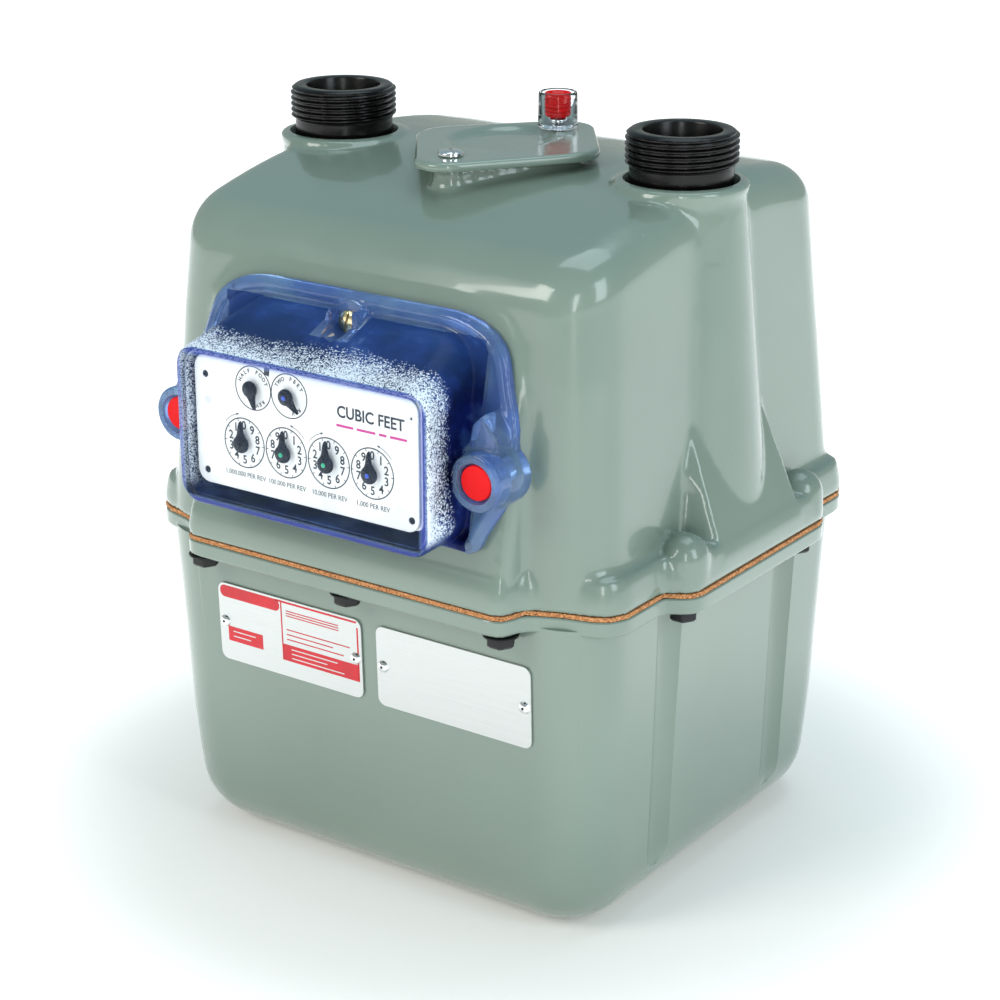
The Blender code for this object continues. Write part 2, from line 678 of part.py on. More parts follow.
def gear_outline(module, teeth, at, phase):
    """Pointed teeth with running clearance: tips 0.6 module out, roots 1.1 module in."""
    pitch = module * teeth / 2.0
    points = []
    for tooth in range(teeth):
        for step, radius in ((0.0, pitch + 0.6 * module), (0.5, pitch - 1.1 * module)):
            angle = phase + TURN * (tooth + step) / teeth
            points.append((at[0] + radius * math.cos(angle), at[1] + radius * math.sin(angle)))
    return points


def mesh_phase(driver_at, driver_teeth, driver_phase, at, teeth):
    """The phase that puts a gap of this gear round a tooth of its driver."""
    line = math.atan2(at[1] - driver_at[1], at[0] - driver_at[0])
    step = TURN / driver_teeth
    offset = (driver_phase - line) % step
    return line + math.pi + math.pi / teeth - offset * driver_teeth / teeth


def arbor(name, at, rear, gears, front=TIP_END):
    """One arbor: a stepped shaft along Y with its wheel and pinion, each (module, teeth, level, phase)."""
    shaft = rod(name, SHAFT, front, rear, 8, "Y", at)
    for module, teeth, level, phase in gears:
        low = LEVELS[level]
        wheel = plate("wheel", gear_outline(module, teeth, at, phase), low, low + GEAR_WIDTH, "XZ")
        shaft = add(shaft, wheel)
    finish_look(shaft, BRASS, 0.35, 1.0)
    return shaft


def make_index_train():
    """Eight arbors. Each pinion starts a tooth straight along +X, and each wheel is phased to its pinion."""
    dials = [(x, DIAL_Z) for x in DIAL_X]
    first = [
        mesh_phase(dials[place + 1], 6, 0.0, dials[place], 60) for place in range(3)
    ]
    foot = mesh_phase(TWO_FEET, 32, 0.0, HALF_FOOT, 8)
    ten = mesh_phase(TWO_FEET, 12, 0.0, TEN, 60)
    hundred = mesh_phase(TEN, 6, 0.0, HUNDRED, 60)
    thousand = mesh_phase(HUNDRED, 6, 0.0, dials[3], 60)
    rear_end = REAR_BACK + 0.2
    short_end = -108.6
    front_end = -108.2
    gears = {
        "million": [(FIRST_MODULE, 60, 1, first[0])],
        "hundred_thousand": [(FIRST_MODULE, 60, 2, first[1]), (FIRST_MODULE, 6, 1, 0.0)],
        "ten_thousand": [(FIRST_MODULE, 60, 3, first[2]), (FIRST_MODULE, 6, 2, 0.0)],
        "one_thousand": [(REAR_MODULE, 60, 5, thousand), (FIRST_MODULE, 6, 3, 0.0)],
        "half_foot": [(FOOT_MODULE, 8, 4, foot)],
        "two_feet": [(FOOT_MODULE, 32, 4, 0.0), (REAR_MODULE, 12, 7, 0.0)],
        "hundred": [(REAR_MODULE, 60, 6, hundred), (REAR_MODULE, 6, 5, 0.0)],
        "ten": [(REAR_MODULE, 60, 7, ten), (REAR_MODULE, 6, 6, 0.0)],
    }
    return {
        "million": arbor("arbor_million", dials[0], short_end, gears["million"]),
        "hundred_thousand": arbor("arbor_hundred_thousand", dials[1], short_end, gears["hundred_thousand"]),
        "ten_thousand": arbor("arbor_ten_thousand", dials[2], short_end, gears["ten_thousand"]),
        "one_thousand": arbor("arbor_one_thousand", dials[3], rear_end, gears["one_thousand"]),
        "half_foot": arbor("arbor_half_foot", HALF_FOOT, rear_end, gears["half_foot"]),
        "two_feet": arbor("arbor_two_feet", TWO_FEET, rear_end, gears["two_feet"]),
        "hundred": arbor("arbor_hundred", HUNDRED, rear_end, gears["hundred"], front_end),
        "ten": arbor("arbor_ten", TEN, rear_end, gears["ten"], front_end),
    }


def hand_outline(at, turn_deg, length=8.4, hub=3.4):
    """A teardrop pointer whose tip points up, turned clockwise by some degrees."""
    points = []
    for k in range(13):
        angle = math.radians(-230.0 + 280.0 * k / 12.0)
        points.append((hub * math.cos(angle), hub * math.sin(angle)))
    points.insert(0, (0.0, length))
    spin = -math.radians(turn_deg)
    return [
        (at[0] + x * math.cos(spin) - z * math.sin(spin), at[1] + x * math.sin(spin) + z * math.cos(spin))
        for x, z in points
    ]


def make_hands():
    places = {
        "million": ((DIAL_X[0], DIAL_Z), 0.0, 8.4, 3.4),
        "hundred_thousand": ((DIAL_X[1], DIAL_Z), 0.0, 8.4, 3.4),
        "ten_thousand": ((DIAL_X[2], DIAL_Z), 0.0, 8.4, 3.4),
        "one_thousand": ((DIAL_X[3], DIAL_Z), 0.0, 8.4, 3.4),
        "half_foot": (HALF_FOOT, 163.0, 7.4, 2.6),
        "two_feet": (TWO_FEET, 133.0, 7.4, 2.6),
    }
    hands = {}
    for name, (at, turn_deg, length, hub) in places.items():
        outline = hand_outline(at, turn_deg, length, hub)
        hand = plate(f"hand_{name}", outline, HAND_LOW, HAND_HIGH, "XZ", [circle(SHAFT + GAP, at, 10)])
        hands[name] = finish_look(hand, BLACK, 0.3, 0.0)
    return hands


def make_dial_plate():
    holes = [circle(1.3, (x, DIAL_Z), 10) for x in DIAL_X]
    holes += [circle(1.3, at, 10) for at in (HALF_FOOT, TWO_FEET)]
    outline = rounded_box((-51.5, 160.1), (47.5, 207.6), 5.0)
    dial = plate("dial_plate", outline, DIAL_FRONT, DIAL_BACK, "XZ", holes)
    return finish_look(dial, (0.9, 0.92, 0.95), 0.35, 0.0)


def make_index_frame():
    corners = ((-47.5, 164.0), (-47.5, 203.5), (45.8, 164.0), (45.8, 203.5))
    outline = rounded_box((-50.5, 161.0), (48.5, 206.5), 2.5, 2)
    fronts = [(x, DIAL_Z) for x in DIAL_X] + [HALF_FOOT, TWO_FEET]
    rears = [(DIAL_X[3], DIAL_Z), HALF_FOOT, TWO_FEET, HUNDRED, TEN]
    body = plate("index_frame", outline, PLATE_FRONT, PLATE_BACK, "XZ")
    for x, z in corners:
        foot = plinth_y(z - 2.0) - 2.0 * GAP
        body = add(body, rod("pillar", 1.8, PLATE_FRONT + 0.4, foot, 8, "Y", (x, z)))
    body = add(body, plate("rear", outline, REAR_FRONT, REAR_BACK, "XZ"))
    for at in fronts:
        body = cut(body, rod("hole", SHAFT + GAP, PLATE_FRONT - 1.0, PLATE_BACK + 0.5, 8, "Y", at))
    for at in rears:
        body = cut(body, rod("hole", SHAFT + GAP, REAR_FRONT - 0.5, REAR_BACK + 1.0, 8, "Y", at))
    return finish_look(body, (0.75, 0.76, 0.78), 0.35, 1.0)


def make_nameplates():
    for side, x_low, x_high in (("left", -68.0, 0.5), ("right", 7.5, 75.5)):
        outline = rounded_box((x_low, 77.2), (x_high, 108.6), 3.0, 3)
        rings = []
        for lift in (GAP, 1.0):
            rings.append([(x, -lower_half(z)[1] - lift, z) for x, z in outline])
        look = (0.78, 0.78, 0.80)
        finish_look(loft(f"nameplate_{side}", rings), look, 0.35, 1.0)


# ------------------------------------------------------------------ the works inside
def make_crankshaft():
    body = rod("crankshaft", CRANK_RADIUS, 131.0, 149.0, 14)
    low_web = plate("web", wrapped(((0.0, 0.0, 3.2), (CRANK_THROW, 0.0, 2.6)), 0.0, 20), 148.0, 150.0)
    pin = rod("pin", 1.5, 149.0, 161.0, 12, at=(CRANK_THROW, 0.0))
    high_web = plate("web", wrapped(((0.0, 0.0, 3.2), (CRANK_THROW, 0.0, 2.6)), 0.0, 20), 160.0, 162.0)
    body = add(body, low_web, pin, high_web, rod("stem", CRANK_RADIUS - 0.2, 161.0, 209.4, 14))
    lead = math.pi * WORM_MODULE
    around, per_turn = 12, 6
    count = 3 * per_turn
    rings = []
    for level in range(count + 1):
        z = WORM_Z - 1.5 * lead + level * lead / per_turn
        ring = []
        for k in range(around):
            angle = TURN * k / around
            share = abs(((z - WORM_Z) / lead - angle / TURN) % 1.0 - 0.5) * 2.0
            radius = WORM_RADIUS + WORM_MODULE * (-1.1 + 1.7 * (1.0 - share))
            ring.append((radius * math.cos(angle), radius * math.sin(angle), z))
        rings.append(ring)
    return finish_look(add(body, loft("worm", rings)), STEEL, 0.3, 1.0)


def make_valve():
    holes = [circle(CRANK_RADIUS + GAP, (0.0, 0.0), 14)]
    pocket = slot(9.0, 17.0, -55.0, 55.0)
    valve = plate("rotary_valve", circle(22.0, count=28), 136.5, 141.0, holes=holes + [pocket])
    finish_look(valve, GREY_RESIN, 0.5, 0.0)
    ports = [slot(9.0, 17.0, start, start + 60.0) for start in (15.0, 105.0, 195.0, 285.0)]
    seat = plate("valve_seat", circle(26.0, count=28), LOWER_TOP, 136.2, holes=holes + ports)
    finish_look(seat, (0.06, 0.06, 0.07), 0.45, 0.0)
    return valve


def make_output_axle():
    axle = rod("output_axle", 1.8, -100.7, 3.0, 14, "Y", TWO_FEET)
    phase = TURN / WORM_TEETH / 2.0
    wheel = plate("wheel", gear_outline(WORM_MODULE, WORM_TEETH, TWO_FEET, phase), -0.8, 0.8, "XZ")
    finish_look(add(axle, wheel), STEEL, 0.3, 1.0)
    bush = ((4.9, -93.6), (4.9, -82.7), (7.4, -82.7), (7.4, -81.0), (2.1, -81.0), (2.1, -93.6))
    finish_look(turned("axle_bushing", bush, 20, "Y", TWO_FEET), BRASS, 0.4, 1.0)


def make_table():
    outline = rounded_box((-90.0, -80.0), (90.0, 80.0), 16.0)
    holes = [circle(2.5 + GAP, at, 12) for at in ((-FLAG_X, -FLAG_Y), (FLAG_X, FLAG_Y))]
    holes.append(circle(19.0, count=24))
    table = plate("valve_table", outline, 126.3, LOWER_TOP - GAP, holes=holes)
    finish_look(table, (0.62, 0.63, 0.64), 0.5, 0.6)
    leg = block("bridge_bracket", (-6.0, 28.0, LOWER_TOP), (6.0, 30.0, 210.0))
    leg = add(leg, block("foot", (-7.0, 29.0, LOWER_TOP + 0.02), (7.0, 42.0, 131.0)))
    leg = add(leg, block("bar", (-5.5, -6.0, 207.0), (5.5, 29.0, 209.8)))
    leg = cut(leg, rod("hole", CRANK_RADIUS + 0.2, 205.0, 212.0, 14))
    finish_look(leg, STEEL, 0.4, 1.0)


def make_diaphragm_frame():
    web = [(-69.0, 3.3), (69.0, 3.3), (88.0, 19.0), (88.0, 126.0), (-88.0, 126.0), (-88.0, 19.0)]
    body = plate("diaphragm_frame", web, -1.5, 1.5, "XZ")
    for side in (-1.0, 1.0):
        outer, inner = DRUM_RADIUS - 0.6, DRUM_RADIUS - 2.6
        drum = ((outer, side * 31.0), (outer, side * 0.5), (inner, side * 0.5), (inner, side * 31.0))
        body = add(body, turned("drum", drum, 24, "Y", (0.0, DRUM_Z)))
        left, right = sorted((side * 72.0, side * 84.0))
        near, far = sorted((0.0, side * (FLAG_Y + 5.0)))
        body = add(body, block("lug", (left, near, 27.0), (right, far, 29.5)))
        body = cut(body, rod("hole", 2.5 + GAP, 25.0, 31.0, 12, at=(side * FLAG_X, side * FLAG_Y)))
    return finish_look(body, GREY_RESIN, 0.5, 0.0)


def make_diaphragm(name, side):
    """The fabric ring between the drum and the pan, with one soft roll."""
    under = ((55.0, 30.0), (55.0, 27.6), (50.5, 22.8), (46.0, 27.6), (46.0, 30.0))
    roll = (*under, (47.6, 30.0), (50.5, 25.2), (53.4, 30.0))
    ring = turned(name, [(radius, side * y) for radius, y in roll], 24, "Y", (0.0, DRUM_Z))
    return finish_look(ring, FABRIC, 0.85, 0.0)


def make_pan(name, side):
    disc = (
        (0.0, side * 38.5), (4.5, side * 38.5), (4.5, side * 29.0),
        (42.0, side * 29.0), (PAN_RADIUS, side * 28.4),
        (PAN_RADIUS, side * 27.0), (0.0, side * 27.0),
    )
    return finish_look(turned(name, disc, 24, "Y", (0.0, DRUM_Z)), (0.62, 0.63, 0.64), 0.4, 0.8)


def make_flag(name, side, pin_top):
    """A flag rod: the blade that the pan pushes, the rod up through the table and the arm on top."""
    x, y = side * -FLAG_X, side * -FLAG_Y
    body = rod(name, 2.5, 22.0, 151.0, 14, at=(x, y))
    tip = x + side * 73.0
    body = add(body, block("blade", (min(x, tip), y - 0.75, 45.0), (max(x, tip), y + 0.75, 85.0)))
    end = (x + side * ARM_LENGTH, y)
    arm = plate("arm", wrapped(((x, y, 5.0), (*end, 3.6)), 0.0, 16), 148.5, 151.5)
    body = add(body, arm, rod("pin", 1.5, 150.0, pin_top, 12, at=end))
    return finish_look(body, STEEL, 0.35, 1.0)


def make_link(name, side, low):
    """The free end of the link from the flag arm towards the crank pin."""
    start = Vector((side * (-FLAG_X + ARM_LENGTH), side * -FLAG_Y))
    end = start - start.normalized() * LINK_LENGTH
    outline = wrapped(((start.x, start.y, 4.0), (end.x, end.y, 3.0)), 0.0, 16)
    link = plate(name, outline, low, low + 1.6, holes=[circle(1.5 + GAP, tuple(start), 10)])
    return finish_look(link, STEEL, 0.4, 1.0)


# ------------------------------------------------------------------ assembly
def main():
    make_lower_case()
    make_upper_case()
    make_case_gasket()
    for number, (x, y) in enumerate(bolt_places(), 1):
        make_bolt(number, x, y)
    make_nipple("inlet_nipple", -1.0)
    make_nipple("outlet_nipple", 1.0)
    make_cover()
    make_cover_screws()
    make_index_cover()
    make_index_screws()
    make_nameplates()
    make_dial_plate()
    make_index_frame()
    arbors = make_index_train()
    hands = make_hands()
    crankshaft = make_crankshaft()
    valve = make_valve()
    make_output_axle()
    make_table()
    make_diaphragm_frame()
    make_diaphragm("front_diaphragm", -1.0)
    make_diaphragm("rear_diaphragm", 1.0)
    axes = {
        "million": (DIAL_X[0], DIAL_Z),
        "hundred_thousand": (DIAL_X[1], DIAL_Z),
        "ten_thousand": (DIAL_X[2], DIAL_Z),
        "one_thousand": (DIAL_X[3], DIAL_Z),
        "half_foot": HALF_FOOT,
        "two_feet": TWO_FEET,
        "hundred": HUNDRED,
        "ten": TEN,
    }
    for name, (x, z) in axes.items():
        empty = axis_at(f"axis_{name}", (x, PLATE_FRONT, z))
        pieces = [arbors[name]] + ([hands[name]] if name in hands else [])
        if name == "two_feet":
            pieces.append(bpy.data.objects["output_axle"])
        hang_on(empty, *pieces)
    hang_on(axis_at("axis_crank", (0.0, 0.0, WORM_Z)), crankshaft, valve)
    for name, side, pin_top, link_low in (("front", 1.0, 156.5, 154.0), ("rear", -1.0, 160.0, 157.4)):
        flag = make_flag(f"{name}_flag_rod", side, pin_top)
        hang_on(axis_at(f"axis_{name}_flag", (side * -FLAG_X, side * -FLAG_Y, 100.0)), flag)
        origin_at(make_pan(f"{name}_pan", -side), (0.0, side * -28.0, DRUM_Z))
        link = make_link(f"{name}_link", side, link_low)
        origin_at(link, (side * (-FLAG_X + ARM_LENGTH), side * -FLAG_Y, link_low))


main()
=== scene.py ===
"""The gas meter's looks: fine cast shells, clear index box, printed dials and every finish."""

import json
import math

import bmesh
import bpy
import numpy as np
from mathutils import Matrix, Vector


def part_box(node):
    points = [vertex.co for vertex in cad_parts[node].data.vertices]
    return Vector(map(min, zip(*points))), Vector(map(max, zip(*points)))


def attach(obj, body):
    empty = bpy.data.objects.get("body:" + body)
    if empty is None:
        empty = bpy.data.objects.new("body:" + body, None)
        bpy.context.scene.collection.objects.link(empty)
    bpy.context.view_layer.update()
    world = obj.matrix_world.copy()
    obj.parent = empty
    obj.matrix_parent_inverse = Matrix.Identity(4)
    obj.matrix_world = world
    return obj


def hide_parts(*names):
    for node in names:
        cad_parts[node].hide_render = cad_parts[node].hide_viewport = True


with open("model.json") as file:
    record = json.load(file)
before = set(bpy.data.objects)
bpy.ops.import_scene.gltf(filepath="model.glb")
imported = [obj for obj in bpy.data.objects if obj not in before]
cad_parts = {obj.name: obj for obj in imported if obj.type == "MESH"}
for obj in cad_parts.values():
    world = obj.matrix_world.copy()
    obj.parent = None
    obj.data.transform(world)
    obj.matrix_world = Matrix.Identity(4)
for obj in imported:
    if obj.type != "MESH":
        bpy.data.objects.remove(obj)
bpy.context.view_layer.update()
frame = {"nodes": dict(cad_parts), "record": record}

MM = 0.001
TURN = 2.0 * math.pi
NODES = frame["nodes"]
BODIES = frame["record"]["behaviour"]["bodies"]
BODY_OF = {node: body for body, members in BODIES.items() for node in members}
SLOT_OF = {part["node"]: part["material_slot"] for part in frame["record"]["subparts"]}


def box_mm(node):
    low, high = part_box(node)
    return low / MM, high / MM


def middle_mm(node):
    low, high = box_mm(node)
    return (low + high) / 2.0


# ---- places read from the frame
INLET, OUTLET = middle_mm("inlet_nipple"), middle_mm("outlet_nipple")
HUB_X = (OUTLET.x - INLET.x) / 2.0
NIPPLE = box_mm("outlet_nipple")
NIPPLE_LOW, NIPPLE_TOP = NIPPLE[0].z, NIPPLE[1].z
CREST = (NIPPLE[1].x - NIPPLE[0].x) / 2.0
RIM_LOW, RIM_SPLIT = 122.8, box_mm("lower_case")[1].z
UPPER_LOW = box_mm("upper_case")[0].z
COLLAR_TOP = 265.0
COVER_LOW, COVER_TOP = box_mm("access_cover")[0].z, box_mm("access_cover")[1].z
DIAL_LOW, DIAL_HIGH = box_mm("dial_plate")
DIAL_FRONT = DIAL_LOW.y
WINDOW_FRONT = box_mm("index_cover")[0].y
TUBE_X, TUBE_Z = middle_mm("index_plug_right").x, middle_mm("index_plug_right").z
TOP_SCREW_Z = middle_mm("index_top_screw").z
COVER_SCREW = middle_mm("cover_screw").xy
SEAL_SCREW = middle_mm("seal_screw").xy
DIAL_PITCH = 19.03
DIAL_Z = 178.1
DIAL_X = tuple(-29.3 + DIAL_PITCH * place for place in range(4))
HALF_FOOT = (-24.4, 199.1)
TWO_FEET = (-8.2, 199.1)
BOLTS = [middle_mm(f"flange_bolt_{number:02d}").xy for number in range(1, 11)]
BOLT_LOW = box_mm("flange_bolt_01")[0].z
RIM_QUARTER = (
    (68.0, 105.0), (71.5, 103.5), (73.0, 100.0), (74.5, 94.0), (86.0, 88.8), (97.0, 86.0),
    (102.5, 82.5), (105.2, 76.0), (105.2, 53.0), (110.5, 50.5), (114.0, 47.5), (115.3, 43.0),
)
COVER_CIRCLES = ((1.5, -38.0, 12.0), (24.5, 0.0, 14.5), (4.0, 30.5, 13.0), (-18.0, -2.0, 17.5))
HOOD = [(7.3 * math.cos(a), TOP_SCREW_Z + 7.3 * math.sin(a)) for a in np.linspace(0.0, TURN, 49)[:-1]]
SIDE_BOLT_X, SIDE_BOLT_Y = 106.3, 41.5
WALL = 3.0
TAP, SCREW_HOLE, BOLT_HOLE = 2.3, 2.4, 3.3
SHANK_END = 261.2
INK = 0.06


# ---- mesh tools
def linked(name, data):
    """A new object in the scene for a mesh or a curve."""
    made = bpy.data.objects.new(name, data)
    bpy.context.scene.collection.objects.link(made)
    return made


def from_bmesh(name, build, sharp=None):
    bmesh.ops.recalc_face_normals(build, faces=build.faces)
    mesh = bpy.data.meshes.new(name)
    build.to_mesh(mesh)
    build.free()
    return shade(linked(name, mesh), True, sharp)


def shade(obj, smooth=True, sharp=None):
    obj.data.polygons.foreach_set("use_smooth", [smooth] * len(obj.data.polygons))
    if sharp is not None:
        obj.data.set_sharp_from_angle(angle=math.radians(sharp))
    obj.data.update()
    return obj


def skin(name, rings, closed=False, sharp=None):
    """A skin through rings of equal length: capped at both ends, or closed into a loop."""
    build = bmesh.new()
    loops = [[build.verts.new(Vector(point) * MM) for point in ring] for ring in rings]
    pairs = list(zip(loops, loops[1:])) + ([(loops[-1], loops[0])] if closed else [])
    for low, high in pairs:
        for here in range(len(low)):
            after = (here + 1) % len(low)
            build.faces.new((low[here], low[after], high[after], high[here]))
    if not closed:
        build.faces.new(loops[0])
        build.faces.new(loops[-1])
    return from_bmesh(name, build, sharp)


def turned(name, profile, steps=64, axis="Z", at=(0.0, 0.0), sharp=35.0):
    """A turned solid from (radius, height) points, round a line along Z at x, y or along Y at x, z."""
    build = bmesh.new()
    place = (lambda r, h: (r * MM, 0.0, h * MM)) if axis == "Z" else (lambda r, h: (r * MM, h * MM, 0.0))
    points = [build.verts.new(place(*point)) for point in profile]
    edges = [build.edges.new(pair) for pair in zip(points, points[1:])]
    if min(radius for radius, _h in profile) > 0.0:
        edges.append(build.edges.new((points[-1], points[0])))
    way = (0.0, 0.0, 1.0) if axis == "Z" else (0.0, 1.0, 0.0)
    bmesh.ops.spin(build, geom=points + edges, axis=way, cent=(0.0, 0.0, 0.0), steps=steps, angle=TURN)
    bmesh.ops.remove_doubles(build, verts=build.verts, dist=1e-7)
    shift = (at[0] * MM, at[1] * MM, 0.0) if axis == "Z" else (at[0] * MM, 0.0, at[1] * MM)
    bmesh.ops.translate(build, verts=build.verts, vec=shift)
    return from_bmesh(name, build, sharp)


def rod(name, radius, low, high, steps=48, axis="Z", at=(0.0, 0.0)):
    return turned(name, ((0.0, high), (radius, high), (radius, low), (0.0, low)), steps, axis, at)


def from_curve(curve):
    """The mesh of a curve or of text."""
    drawn = linked(curve.name, curve)
    bpy.context.view_layer.update()
    mesh = bpy.data.meshes.new_from_object(drawn.evaluated_get(bpy.context.evaluated_depsgraph_get()))
    bpy.data.objects.remove(drawn, do_unlink=True)
    return mesh


def column(name, outline, low, high, sharp=None):
    """A prism along Z from an outline in X and Y."""
    return skin(name, [[(x, y, z) for x, y in outline] for z in (low, high)], sharp=sharp)


def slab(name, outline, low, high):
    """A prism along Y from an outline in X and Z."""
    return skin(name, [[(x, y, z) for x, z in outline] for y in (low, high)])


def block(name, low, high):
    corners = ((low[0], low[1]), (high[0], low[1]), (high[0], high[1]), (low[0], high[1]))
    return column(name, corners, low[2], high[2], 30.0)


def settled(obj):
    """Applies an object's modifiers."""
    graph = bpy.context.evaluated_depsgraph_get()
    mesh = bpy.data.meshes.new_from_object(obj.evaluated_get(graph))
    obj.modifiers.clear()
    obj.data = mesh
    return obj


def joined(name, pieces):
    """Puts several meshes into one object, without a Boolean."""
    build = bmesh.new()
    for piece in pieces:
        build.from_mesh(piece.data)
        bpy.data.objects.remove(piece, do_unlink=True)
    mesh = bpy.data.meshes.new(name)
    build.to_mesh(mesh)
    build.free()
    return linked(name, mesh)


def carved(obj, tools, operation="DIFFERENCE", solver="EXACT"):
    for tool in tools:
        step = obj.modifiers.new("Step", "BOOLEAN")
        step.operation = operation
        step.solver = solver
        step.object = tool
        bpy.context.view_layer.update()
        settled(obj)
        bpy.data.objects.remove(tool, do_unlink=True)
    return obj


def cast(obj, voxel, passes, zones=(), zone_passes=0):
    """Melts overlapping solids into one soft casting; each zone gives wider fillets where it is near 1."""
    melt = obj.modifiers.new("Melt", "REMESH")
    melt.mode = "VOXEL"
    melt.voxel_size = voxel * MM
    settled(obj)
    if passes:
        soften = obj.modifiers.new("Soften", "SMOOTH")
        soften.factor = 0.5
        soften.iterations = passes
        settled(obj)
    if zones:
        count = len(obj.data.vertices)
        flat = np.zeros(count * 3)
        obj.data.vertices.foreach_get("co", flat)
        places = flat.reshape(-1, 3) / MM
        weight = np.zeros(count)
        for zone in zones:
            weight = np.maximum(weight, np.clip(zone(places[:, 0], places[:, 1], places[:, 2]), 0.0, 1.0))
        group = obj.vertex_groups.new(name="fillet")
        for level in range(1, 5):
            picked = np.nonzero(np.round(weight * 4) == level)[0]
            group.add(picked.tolist(), level / 4.0, "REPLACE")
        soften = obj.modifiers.new("Fillet", "SMOOTH")
        soften.factor = 0.5
        soften.iterations = zone_passes
        soften.vertex_group = "fillet"
        settled(obj)
        obj.vertex_groups.clear()
    return shade(obj)


def wrapped(circles, offset=0.0, count=128):
    """The outline of a band stretched round some circles, each grown by offset."""
    points = []
    for k in range(count):
        way = Vector((math.cos(TURN * k / count), math.sin(TURN * k / count)))
        reach = [Vector((x, y)).dot(way) + radius + offset for x, y, radius in circles]
        x, y, radius = circles[reach.index(max(reach))]
        points.append((x + way.x * (radius + offset), y + way.y * (radius + offset)))
    return even(points, count)


def even(points, count):
    """The same closed outline with evenly spaced points."""
    loop = list(points) + [points[0]]
    lengths = [math.dist(a, b) for a, b in zip(loop, loop[1:])]
    total = sum(lengths)
    made, walked, leg = [], 0.0, 0
    for k in range(count):
        target = total * k / count
        while walked + lengths[leg] < target:
            walked += lengths[leg]
            leg += 1
        share = (target - walked) / max(lengths[leg], 1e-9)
        made.append(tuple(a + (b - a) * share for a, b in zip(loop[leg], loop[leg + 1])))
    return made


def round_corners(points, radius, count=5):
    """Rounds the corners of an outline by quadratic curves that start radius before each corner."""
    made = []
    for place, corner in enumerate(points):
        before, after = Vector(points[place - 1]), Vector(points[(place + 1) % len(points)])
        corner = Vector(corner)
        start = corner + (before - corner).normalized() * min(radius, (before - corner).length * 0.45)
        end = corner + (after - corner).normalized() * min(radius, (after - corner).length * 0.45)
        for k in range(count + 1):
            t = k / count
            made.append(tuple(start * (1 - t) ** 2 + corner * 2 * t * (1 - t) + end * t * t))
    return made


def rounded_box(low, high, radius, count=8):
    points = []
    corners = ((high[0], high[1]), (low[0], high[1]), (low[0], low[1]), (high[0], low[1]))
    for quarter, (x, y) in enumerate(corners):
        cx = x - radius if x == high[0] else x + radius
        cy = y - radius if y == high[1] else y + radius
        for k in range(count + 1):
            angle = (quarter + k / count) * math.pi / 2.0
            points.append((cx + radius * math.cos(angle), cy + radius * math.sin(angle)))
    return points


def four_ways(quarter):
    right = [(x, -y) for x, y in quarter] + [(x, y) for x, y in reversed(quarter)]
    return right + [(-x, y) for x, y in reversed(right)]


RIM = even(round_corners(four_ways(RIM_QUARTER), 3.5), 320)


